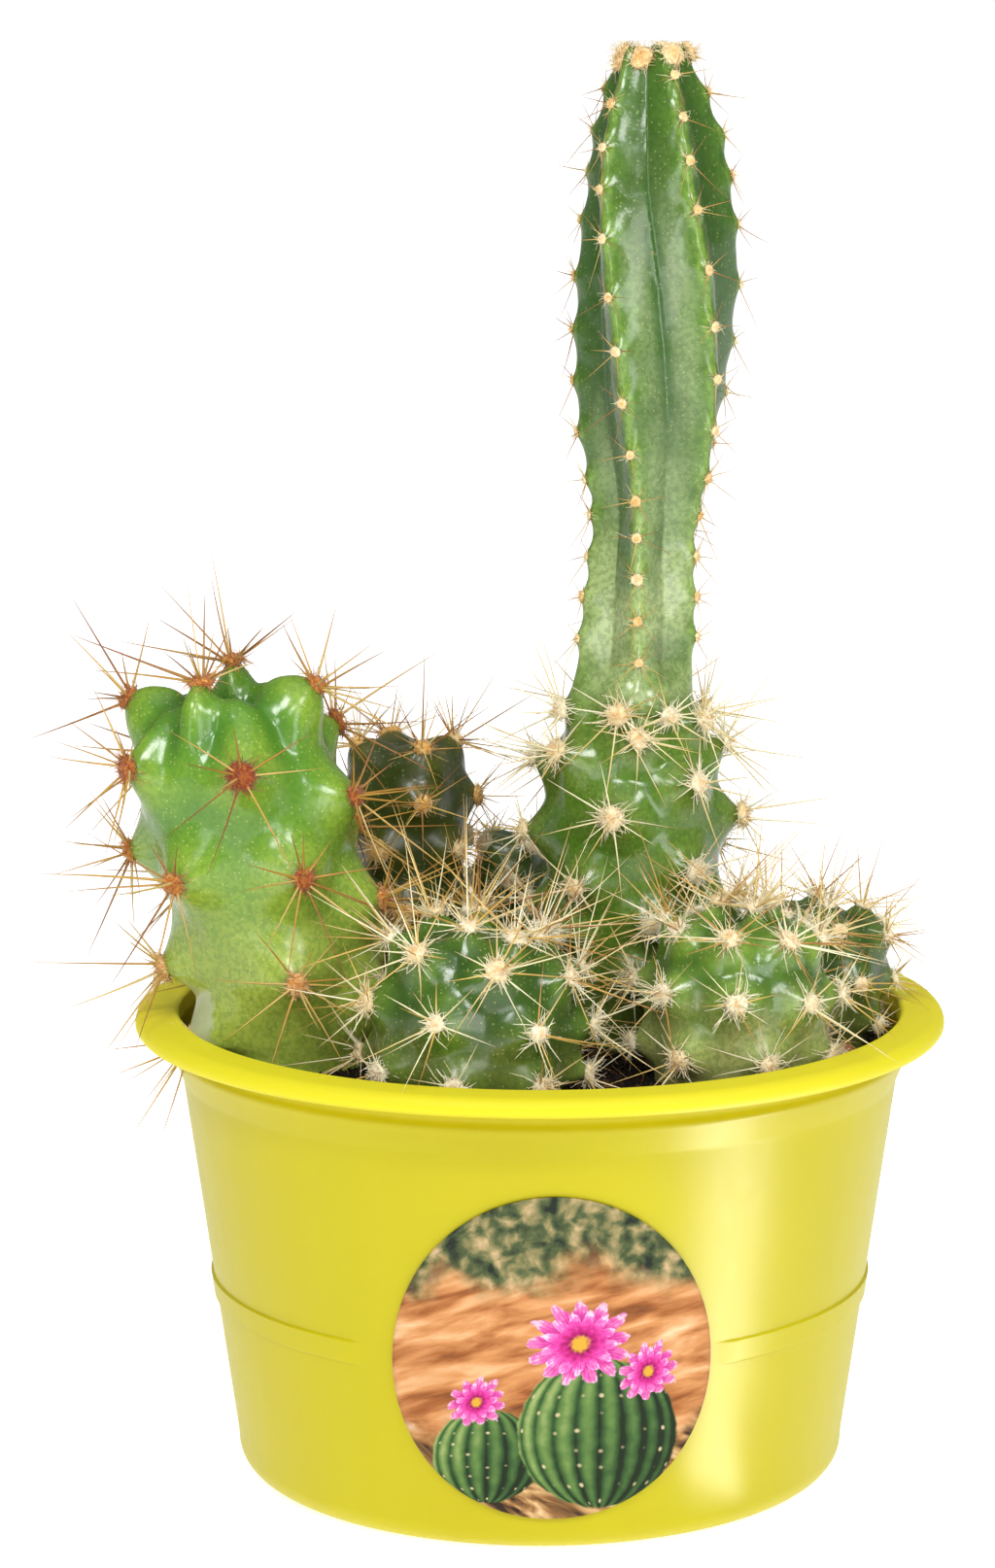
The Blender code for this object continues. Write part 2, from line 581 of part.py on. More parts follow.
def build_bark(collection, soil):
    """Each chip is lowered on to the soil."""
    tree = tree_of(soil)
    for name, facts in BARK.items():
        bm = bmesh.new()
        bmesh.ops.create_cube(bm, size=1.0)
        bmesh.ops.scale(bm, vec=[side * MM for side in facts["size"]], verts=bm.verts)
        bmesh.ops.bevel(bm, geom=list(bm.edges), offset=0.4 * MM, segments=1, affect="EDGES")
        turn = Euler([math.radians(a) for a in facts["turn"]]).to_matrix()
        bmesh.ops.rotate(bm, verts=bm.verts, matrix=turn)
        start = Vector((*facts["place"], POT_HEIGHT + 10.0)) * MM
        fall = min(tree.ray_cast(start + vert.co, Vector((0.0, 0.0, -1.0)))[3] for vert in bm.verts)
        material = make_material(name, facts["colour"], 0.8)
        chip = make_object(name, mesh_from(bm, name), collection, material)
        chip.location = start - Vector((0.0, 0.0, fall - FIT_GAP * MM))


def spine_directions(plant, tuft, counts, chance):
    """Outward directions of a cushion's spines: some spread round the rim, some stand out of its middle."""
    out = plant.outward(tuft["angle"], tuft["run"])
    side = out.cross(Vector((0.0, 0.0, 1.0)))
    side = side.normalized() if side.length > 0.1 else Vector((1.0, 0.0, 0.0))
    up = side.cross(out)
    spread, standing = counts
    made = []
    start = chance.uniform(0.0, math.tau)
    for number in range(spread):
        a = start + math.tau * (number + chance.uniform(-0.2, 0.2)) / max(spread, 1)
        tilt = math.radians(chance.uniform(52.0, 68.0))
        made.append(out * math.cos(tilt) + (side * math.cos(a) + up * math.sin(a)) * math.sin(tilt))
    for number in range(standing):
        a = chance.uniform(0.0, math.tau)
        tilt = math.radians(chance.uniform(4.0, 22.0))
        made.append(out * math.cos(tilt) + (side * math.cos(a) + up * math.sin(a)) * math.sin(tilt))
    return out, made


def far_from(tree, root, tip, least):
    """True if the line from root to tip keeps at least this distance from a surface."""
    steps = max(3, int((tip - root).length / (0.7 * MM)))
    for step in range(steps + 1):
        if tree.find_nearest(root.lerp(tip, step / steps), least)[0] is not None:
            return False
    return True


def lines_apart(a, b, c, d):
    """The least distance between two short straight lines."""
    crossing = geometry.intersect_line_line(a, b, c, d)
    if crossing is not None:
        first = geometry.intersect_point_line(crossing[0], a, b)[1]
        second = geometry.intersect_point_line(crossing[1], c, d)[1]
        if 0.0 <= first <= 1.0 and 0.0 <= second <= 1.0:
            return (crossing[0] - crossing[1]).length
    found = []
    for point, start, end in ((a, c, d), (b, c, d), (c, a, b), (d, a, b)):
        share = min(1.0, max(0.0, geometry.intersect_point_line(point, start, end)[1]))
        found.append((point - start.lerp(end, share)).length)
    return min(found)


def plan_spines(plant, trees, own_tree, placed):
    """(root, tip, radius) of each spine. One that would cross another piece is raised, then shortened."""
    chance = random.Random(plant.facts["seed"])
    others = [line for name, lines in placed.items() if name != plant.name for line in lines]
    made = []
    for tuft in plant.tufts:
        facts = tuft["facts"]
        skin = plant.point(tuft["angle"], tuft["run"])
        out, directions = spine_directions(plant, tuft, facts["spines"], chance)
        root = skin - out * SPINE_ROOT * MM
        for direction in directions:
            length = chance.uniform(*facts["spine_length"])
            for raised, share in SPINE_TRIES:
                aim = (direction + Vector((0.0, 0.0, 0.6)) * raised).normalized()
                if aim.dot(out) < 0.2:
                    continue
                start = skin + aim * 1.2 * MM + out * 0.7 * MM
                tip = skin + aim * length * share * MM
                clear = far_from(own_tree, start, tip, 0.15 * MM)
                clear = clear and all(far_from(tree, skin, tip, SPINE_CLEAR * MM) for tree in trees)
                if clear and all(lines_apart(root, tip, c, d) > SPINE_APART * MM for c, d in others):
                    made.append((root, tip, facts["spine_radius"]))
                    break
    return made


def add_cone(name, base, tip, radius, sides, collection):
    """A pointed cone from the middle of its base to its tip, in metres, with the radius in millimetres."""
    turn = (tip - base).to_track_quat("Z", "Y").to_matrix().to_4x4()
    bm = bmesh.new()
    bmesh.ops.create_cone(bm, cap_ends=True, segments=sides, radius1=radius * MM, radius2=0.0,
                          depth=(tip - base).length, matrix=Matrix.Translation((base + tip) / 2) @ turn)
    make_object(name, mesh_from(bm, name), collection)


def add_spines(plant, body, spines, trees):
    """Fuses the spines, and the low woolly cushions at their roots, into the plant."""
    pieces = make_collection(plant.name + "_pieces")
    for number, (root, tip, radius) in enumerate(spines):
        add_cone(f"{plant.name}_spine_{number}", root, tip, radius, SPINE_SIDES, pieces)
    if plant.facts["cushion"]:
        radius, proud = plant.facts["cushion"]
        for number, tuft in enumerate(tuft for tuft in plant.tufts if tuft["facts"] is plant.facts):
            skin = plant.point(tuft["angle"], tuft["run"])
            if all(tree.find_nearest(skin, (radius + 1.0) * MM)[0] is None for tree in trees):
                out = plant.outward(tuft["angle"], tuft["run"])
                base, tip = skin - out * CUSHION_ROOT * MM, skin + out * proud * MM
                add_cone(f"{plant.name}_cushion_{number}", base, tip, radius, CUSHION_SIDES, pieces)
    boolean(body, "UNION", pieces, solver="MANIFOLD")
    remove_with_collection(pieces)


def main():
    clear_scene()
    collection = make_collection("potted_cactus_arrangement")
    cutters = make_collection("cutters")
    pot = build_pot(collection, cutters, make_material("pot_yellow", (0.80, 0.70, 0.03), 0.4))
    build_sticker(collection, make_material("sticker_print", (0.62, 0.38, 0.22), 0.45))
    plants = [Plant(name, facts) for name, facts in PLANTS.items()]
    bodies = {plant.name: build_plant_body(plant, collection, make_material(plant.name, plant.facts["colour"], 0.4))
              for plant in plants}
    soil = build_soil(plants, collection, make_material("soil", (0.035, 0.022, 0.015), 0.95))
    build_bark(collection, soil)
    trees = {name: tree_of(obj) for name, obj in {**bodies, "pot": pot, "soil": soil}.items()}
    placed = {}
    for plant in plants:
        others = [tree for name, tree in trees.items() if name != plant.name]
        spines = plan_spines(plant, others, trees[plant.name], placed)
        placed[plant.name] = [(root, tip) for root, tip, _ in spines]
        add_spines(plant, bodies[plant.name], spines, others)
        shade_round(bodies[plant.name], 60.0)


main()
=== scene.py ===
import math
import random

import bmesh
import bpy
import numpy as np
from mathutils import Euler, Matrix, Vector, noise
from mathutils.bvhtree import BVHTree


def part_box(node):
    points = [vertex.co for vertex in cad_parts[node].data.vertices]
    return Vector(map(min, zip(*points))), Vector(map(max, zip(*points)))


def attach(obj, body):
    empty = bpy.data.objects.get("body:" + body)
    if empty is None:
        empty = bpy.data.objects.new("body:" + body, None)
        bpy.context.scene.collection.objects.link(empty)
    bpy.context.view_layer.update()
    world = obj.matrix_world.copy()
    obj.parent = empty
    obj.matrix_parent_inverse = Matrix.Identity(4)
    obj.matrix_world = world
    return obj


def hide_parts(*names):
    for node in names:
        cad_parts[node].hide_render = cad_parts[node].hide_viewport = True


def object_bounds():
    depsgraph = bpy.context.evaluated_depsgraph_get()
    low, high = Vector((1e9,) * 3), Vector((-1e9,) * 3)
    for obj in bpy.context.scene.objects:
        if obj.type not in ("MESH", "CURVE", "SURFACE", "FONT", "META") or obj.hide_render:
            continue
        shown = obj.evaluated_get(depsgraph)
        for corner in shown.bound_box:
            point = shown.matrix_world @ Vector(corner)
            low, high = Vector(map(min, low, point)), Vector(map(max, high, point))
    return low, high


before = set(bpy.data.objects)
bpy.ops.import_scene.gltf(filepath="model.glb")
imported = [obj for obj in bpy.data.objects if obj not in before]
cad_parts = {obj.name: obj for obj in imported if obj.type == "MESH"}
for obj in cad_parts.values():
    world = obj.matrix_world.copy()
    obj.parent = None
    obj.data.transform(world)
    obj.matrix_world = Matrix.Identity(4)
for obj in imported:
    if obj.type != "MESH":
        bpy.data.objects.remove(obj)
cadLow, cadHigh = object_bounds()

# A pot of small cacti. Lengths in the dictionaries are millimetres, angles are degrees.
# A cactus's angle 0 faces the front (-Y) and grows towards +X; its height 0 is the soil line.
mm = 0.001
fitGap = 0.35
soilLine = 64.0
plantingDepth = 10.0
boxMargin = 0.15  # spines and hairs stay this far inside the CAD model's box
boxLow = [c / mm + boxMargin for c in cadLow]
boxHigh = [c / mm - boxMargin for c in cadHigh]


def hexColour(code):
    parts = [int(code[place:place + 2], 16) / 255 for place in (1, 3, 5)]
    return tuple(c / 12.92 if c <= 0.04045 else ((c + 0.055) / 1.055) ** 2.4 for c in parts) + (1.0,)


class Output:
    # a node's output; + - * / and ** with it add Math nodes to its tree
    def __init__(self, tree, socket):
        self.tree, self.socket = tree, socket


signs = {"add": "ADD", "sub": "SUBTRACT", "mul": "MULTIPLY", "truediv": "DIVIDE", "pow": "POWER"}
for sign, operation in signs.items():
    setattr(Output, f"__{sign}__", lambda a, b, operation=operation: a.tree.maths(operation, a, b))
    setattr(Output, f"__r{sign}__", lambda a, b, operation=operation: a.tree.maths(operation, b, a))


class Tree:
    # a node tree in which one call adds a node with its links and settings
    def __init__(self, made):
        self.made, self.nodes = made, made.nodes

    def fill(self, node, values):
        # an input takes another node's output, a plain value or the hex code of a colour
        for key, value in values.items():
            if isinstance(value, Output):
                self.made.links.new(value.socket, node.inputs[key])
            elif value is not None:
                node.inputs[key].default_value = hexColour(value) if str(value)[:1] == "#" else value

    def add(self, kind, values={}, out=0, stops=(), **settings):
        node = self.nodes.new(kind)
        for name, value in settings.items():
            setattr(node, name, value)
        self.fill(node, values)
        if stops:
            ramp = node.color_ramp.elements
            while len(ramp) < len(stops):
                ramp.new(0.5)
            for element, (place, code) in zip(ramp, stops):
                element.position, element.color = place, hexColour(code)
        if isinstance(out, tuple):
            return [Output(self, node.outputs[name]) for name in out]
        return Output(self, node.outputs[out])

    def maths(self, operation, *values):
        return self.add("ShaderNodeMath", dict(enumerate(values)), operation=operation)

    def vector(self, operation, *values, scale=None, out=0):
        return self.add("ShaderNodeVectorMath", {**dict(enumerate(values)), "Scale": scale}, out, operation=operation)

    def length(self, value):
        return self.vector("LENGTH", value, out="Value")

    def parts(self, value):
        return self.add("ShaderNodeSeparateXYZ", {0: value}, (0, 1, 2))

    def joined(self, *values):
        return self.add("ShaderNodeCombineXYZ", dict(enumerate(values)))

    def between(self, value, low, high, toLow=0.0, toHigh=1.0, kind="SMOOTHSTEP"):
        # what lies from low to high is spread from toLow to toHigh, with soft ends or a straight line
        return self.add("ShaderNodeMapRange", {0: value, 1: low, 2: high, 3: toLow, 4: toHigh},
                        interpolation_type=kind)

    def line(self, *values):
        return self.between(*values, kind="LINEAR")

    def noise(self, spot, scale, detail=2.0, rough=0.5, warp=0.0, out=0):
        return self.add("ShaderNodeTexNoise", {0: spot, "Scale": scale, "Detail": detail, "Roughness": rough,
                                               "Distortion": warp}, out)

    def mapping(self, spot, size, place=None, turn=None, kind="POINT"):
        return self.add("ShaderNodeMapping", {0: spot, 1: place, 2: turn, 3: size}, vector_type=kind)

    def ramp(self, value, *stops):
        return self.add("ShaderNodeValToRGB", {0: value}, stops=stops)

    def blend(self, share, under, over, mode="MIX"):
        return self.add("ShaderNodeMix", {0: share, 6: under, 7: over}, 2, data_type="RGBA", blend_type=mode,
                        clamp_factor=True)

    def random(self, low, high, seed):
        kind, first, out = ("FLOAT_VECTOR", 0, 0) if isinstance(low, tuple) else ("FLOAT", 2, 1)
        return self.add("FunctionNodeRandomValue", {first: low, first + 1: high, "Seed": seed}, out, data_type=kind)

    def read(self, name, kind="FLOAT"):
        return self.add("GeometryNodeInputNamedAttribute", {"Name": name}, "Attribute", data_type=kind)

    def store(self, geometry, name, value, kind="FLOAT"):
        return self.add("GeometryNodeStoreNamedAttribute", {"Geometry": geometry, "Name": name, "Value": value},
                        data_type=kind, domain="POINT")

    def moved(self, geometry, **values):
        return self.add("GeometryNodeSetPosition", {0: geometry, **values})

    def copies(self, points, instance, turn=None, size=None):
        spread = self.add("GeometryNodeInstanceOnPoints", {"Points": points, "Instance": instance,
                                                           "Rotation": turn, "Scale": size})
        return self.add("GeometryNodeRealizeInstances", {0: spread})

    def scattered(self, faces, density, seed, out=0):
        return self.add("GeometryNodeDistributePointsOnFaces", {0: faces, "Density": density, "Seed": seed}, out)

    def finish(self, geometry, material):
        dressed = self.add("GeometryNodeSetMaterial", {0: geometry, "Material": material})
        self.fill(self.nodes.new("NodeGroupOutput"), {0: dressed})
        return self.made


class Paint(Tree):
    # the tree of a material; spot is the place on the object, in metres
    def __init__(self, name):
        self.material = bpy.data.materials.new(name)
        self.material.use_nodes = True
        super().__init__(self.material.node_tree)

    @property
    def spot(self):
        return self.add("ShaderNodeTexCoord", out="Object")

    def field(self, name, out="Fac"):
        return self.add("ShaderNodeAttribute", out=out, attribute_name=name)

    def bump(self, height, strength, distance, under=None):
        return self.add("ShaderNodeBump", {"Height": height, "Strength": strength, "Distance": distance * mm,
                                           "Normal": under})

    def dress(self, **values):
        # the names are the shader's inputs in one word, such as BaseColor
        inputs = self.nodes["Principled BSDF"].inputs
        names = {place.name.replace(" ", ""): place.name for place in inputs}
        self.fill(self.nodes["Principled BSDF"], {names[name]: value for name, value in values.items()})
        return self.material


def newTree(name, inputs):
    # a geometry tree with these inputs, where None stands for a material
    made = bpy.data.node_groups.new(name, "GeometryNodeTree")
    made.interface.new_socket("Geometry", in_out="INPUT", socket_type="NodeSocketGeometry")
    made.interface.new_socket("Geometry", in_out="OUTPUT", socket_type="NodeSocketGeometry")
    for label, value in inputs.items():
        kind = {int: "NodeSocketInt", float: "NodeSocketFloat"}.get(type(value), "NodeSocketMaterial")
        socket = made.interface.new_socket(label, in_out="INPUT", socket_type=kind)
        if value is not None:
            socket.default_value = value
    tree, labels = Tree(made), ("Geometry", *inputs)
    return tree, dict(zip(labels, tree.add("NodeGroupInput", out=labels)))


def linkObject(name, mesh):
    made = bpy.data.objects.new(name, mesh)
    bpy.context.scene.collection.objects.link(made)
    return made


def meshFrom(bm, name):
    mesh = bpy.data.meshes.new(name)
    bm.to_mesh(mesh)
    bm.free()
    return mesh


def bridge(bm, low, high):
    # a band of faces between two closed loops of vertices
    for side in range(len(low)):
        after = (side + 1) % len(low)
        bm.faces.new((low[side], high[side], high[after], low[after]))


def grow(piece, tree, values):
    # the tree's result becomes the piece's plain mesh
    step = piece.modifiers.new(tree.name, "NODES")
    step.node_group = tree
    for item in tree.interface.items_tree:
        if item.in_out == "INPUT" and item.name in values:
            step[item.identifier] = values[item.name]
    bpy.context.view_layer.update()
    made = bpy.data.meshes.new_from_object(piece.evaluated_get(bpy.context.evaluated_depsgraph_get()))
    piece.modifiers.clear()
    old, piece.data = piece.data, made
    bpy.data.meshes.remove(old)
    made.name = piece.name


def handOver(piece, slot, *nodes):
    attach(piece, "root")
    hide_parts(*nodes)


def smoothStep(value):
    value = np.clip(value, 0.0, 1.0)
    return value * value * (3.0 - 2.0 * value)


def smoothCurve(points, steps):
    # a curve through the points, with this many steps between two of them
    p = np.array([points[0], *points, points[-1]], float)
    t = (np.arange(steps) / steps)[:, None]
    made = [0.5 * (2 * b + (c - a) * t + (2 * a - 5 * b + 4 * c - d) * t ** 2 + (3 * b - a - 3 * c + d) * t ** 3)
            for a, b, c, d in zip(p, p[1:], p[2:], p[3:])]
    return np.concatenate([*made, p[-1:]])


def storeOn(mesh, label, values):
    values = np.array(values, float)
    kind, field = ("FLOAT_VECTOR", "vector") if values.ndim == 2 else ("FLOAT", "value")
    mesh.attributes.new(label, kind, "POINT").data.foreach_set(field, values.ravel())


def pointCloud(name, places, facts):
    # loose points that carry what a tree needs to know about each of them
    mesh = bpy.data.meshes.new(name)
    mesh.from_pydata([tuple(place) for place in places], [], [])
    for label, values in facts.items():
        storeOn(mesh, label, values)
    return linkObject(name, mesh)


def strandsOn(tree, points, rings, sides, blunt=0.12):
    # thin tapering strands from "root" along "reach", bent by "sag" (vectors, metres), "thick" at the root
    line = tree.add("GeometryNodeCurvePrimitiveLine", {"End": (0.0, 0.0, 1.0)})
    line = tree.add("GeometryNodeResampleCurve", {"Curve": line, "Count": rings})
    along = tree.add("GeometryNodeSplineParameter", out="Factor")
    lines = tree.store(tree.copies(points, line), "along", along)
    reach, root, sag = [tree.read(name, "FLOAT_VECTOR") for name in ("reach", "root", "sag")]
    straight = tree.vector("MULTIPLY_ADD", reach, along, root)
    lines = tree.moved(lines, Position=tree.vector("MULTIPLY_ADD", sag, along ** 2.0, straight))
    radius = tree.read("thick") * (1.0 - along ** 1.3 * (1.0 - blunt))
    ring = tree.add("GeometryNodeCurvePrimitiveCircle", {"Resolution": sides, "Radius": 1.0}, mode="RADIUS")
    skin = tree.add("GeometryNodeCurveToMesh", {0: lines, 1: ring, "Scale": radius, "Fill Caps": True})
    return tree.add("GeometryNodeSetShadeSmooth", {0: skin})


# the studio: places and sizes in metres, power in watts
studio = {
    "camera": {"place": (0.0, -0.650, 0.21842), "lookDown": 10.08, "lens": 102.83, "sensor": 36.0, "shift": -0.02695},
    "air": 0.23, "airSeen": 1.0,
    "floor": ("#eeeeeb", "#f3f3f0"), "floorRadius": 14.0, "floorGlow": 0.40, "floorSeen": 0.80,
    "ceiling": {"power": 0.52, "spread": 60.0, "tilt": (22.0, 8.0)},
    "rearFill": {"power": 0.45, "spread": 90.0, "tilt": (-58.0, 0.0)},
    "keyBox": {"place": (-0.30, -0.66, 0.84), "aim": (-0.01, 0.0, 0.11), "size": (0.26, 0.24), "power": 3.6},
    "leftPanel": {"place": (-0.40, -0.60, 0.22), "aim": (0.0, 0.0, 0.12), "size": (0.16, 0.46), "power": 0.70},
    "rightPanel": {"place": (0.34, -0.66, 0.22), "aim": (0.0, 0.0, 0.12), "size": (0.20, 0.46), "power": 1.15},
    "frontBox": {"place": (0.10, -0.80, 0.58), "aim": (0.0, 0.0, 0.12), "size": (0.24, 0.16), "power": 1.6},
    "rightBox": {"place": (0.46, -0.56, 0.66), "aim": (0.0, 0.0, 0.10), "size": (0.22, 0.20), "power": 2.0},
    # the leaning wall mirrors the floor, so three strips that widen away from the pot lie on it for one even gleam
    "potStripNear": {"place": (0.0496, -0.0486, 0.001), "size": (0.032, 0.014), "turn": -24.0, "power": 0.016},
    "potStripMiddle": {"place": (0.0825, -0.0635, 0.001), "size": (0.044, 0.030), "turn": -24.0, "power": 0.049},
    "potStripFar": {"place": (0.1308, -0.0853, 0.001), "size": (0.064, 0.056), "turn": -24.0, "power": 0.128},
}


def sunlight(name):
    facts = studio[name]
    light = bpy.data.lights.new(name, "SUN")
    light.energy, light.angle = facts["power"], math.radians(facts["spread"])
    holder = linkObject(name, light)
    holder.rotation_euler = [math.radians(a) for a in (*facts["tilt"], 0.0)]
    return holder


def lamp(name, shell=None):
    # a soft box that faces the point it is aimed at; given the pot's shell, a flat strip lights only that
    # and another box spares it
    facts = studio[name]
    light = bpy.data.lights.new(name, "AREA")
    light.shape, light.size, light.size_y, light.energy = "RECTANGLE", *facts["size"], facts["power"]
    holder = linkObject(name, light)
    holder.location = facts["place"]
    if shell:
        linked = bpy.data.collections.new(name + "Linked")
        linked.objects.link(shell)
        holder.light_linking.receiver_collection = linked
    if "turn" in facts:
        # it lies flat, unseen itself, and gives a gleam only
        holder.rotation_euler = (math.radians(180), 0.0, math.radians(facts["turn"]))
        holder.visible_camera = False
        holder.visible_diffuse = False
        return
    holder.rotation_euler = (Vector(facts["aim"]) - Vector(facts["place"])).to_track_quat("-Z", "Y").to_euler()
    if shell:
        linked.collection_objects[0].light_linking.link_state = "EXCLUDE"


def makeStudio():
    facts = studio["camera"]
    camera = bpy.data.cameras.new("camera")
    camera.lens, camera.sensor_width = facts["lens"], facts["sensor"]
    camera.shift_x, camera.clip_start = facts["shift"], 0.01
    holder = linkObject("camera", camera)
    holder.location = facts["place"]
    holder.rotation_euler = (math.radians(90.0 - facts["lookDown"]), 0.0, 0.0)
    bpy.context.scene.camera = holder
    bpy.context.scene.view_settings.view_transform = "Standard"

    # the air lights the plants softly and shows as a bright wall behind them
    world = bpy.data.worlds.new("studioAir")
    world.use_nodes = True
    air = Tree(world.node_tree)
    seen = air.add("ShaderNodeLightPath", out="Is Camera Ray")
    power = air.line(seen, 0.0, 1.0, studio["air"], studio["airSeen"])
    air.fill(air.nodes["Background"], {"Strength": power, "Color": "#ffffff"})
    bpy.context.scene.world = world

    sunlight("ceiling")
    sunlight("rearFill").visible_glossy = False  # it keeps the back from falling dark and gives no shine
    for name in ("keyBox", "rightBox"):
        lamp(name)

    bm = bmesh.new()
    bmesh.ops.create_circle(bm, cap_ends=True, segments=96, radius=studio["floorRadius"])
    floor = linkObject("studioFloor", meshFrom(bm, "studioFloor"))
    paint = Paint("mattFloorPaint")  # matt pale paint, hardly any grain, faintly lit through
    shade = paint.ramp(paint.noise(None, 9.0, 3.0), *zip((0.3, 0.7), studio["floor"]))
    # it shows as white paper, yet throws less light on the undersides
    seen = paint.add("ShaderNodeLightPath", out="Is Camera Ray")
    glow = paint.line(seen, 0.0, 1.0, studio["floorGlow"], studio["floorSeen"])
    floor.data.materials.append(paint.dress(BaseColor=shade, Roughness=0.9, EmissionColor="#ffffff",
                                            EmissionStrength=glow))
    print("studio ready")


makeStudio()


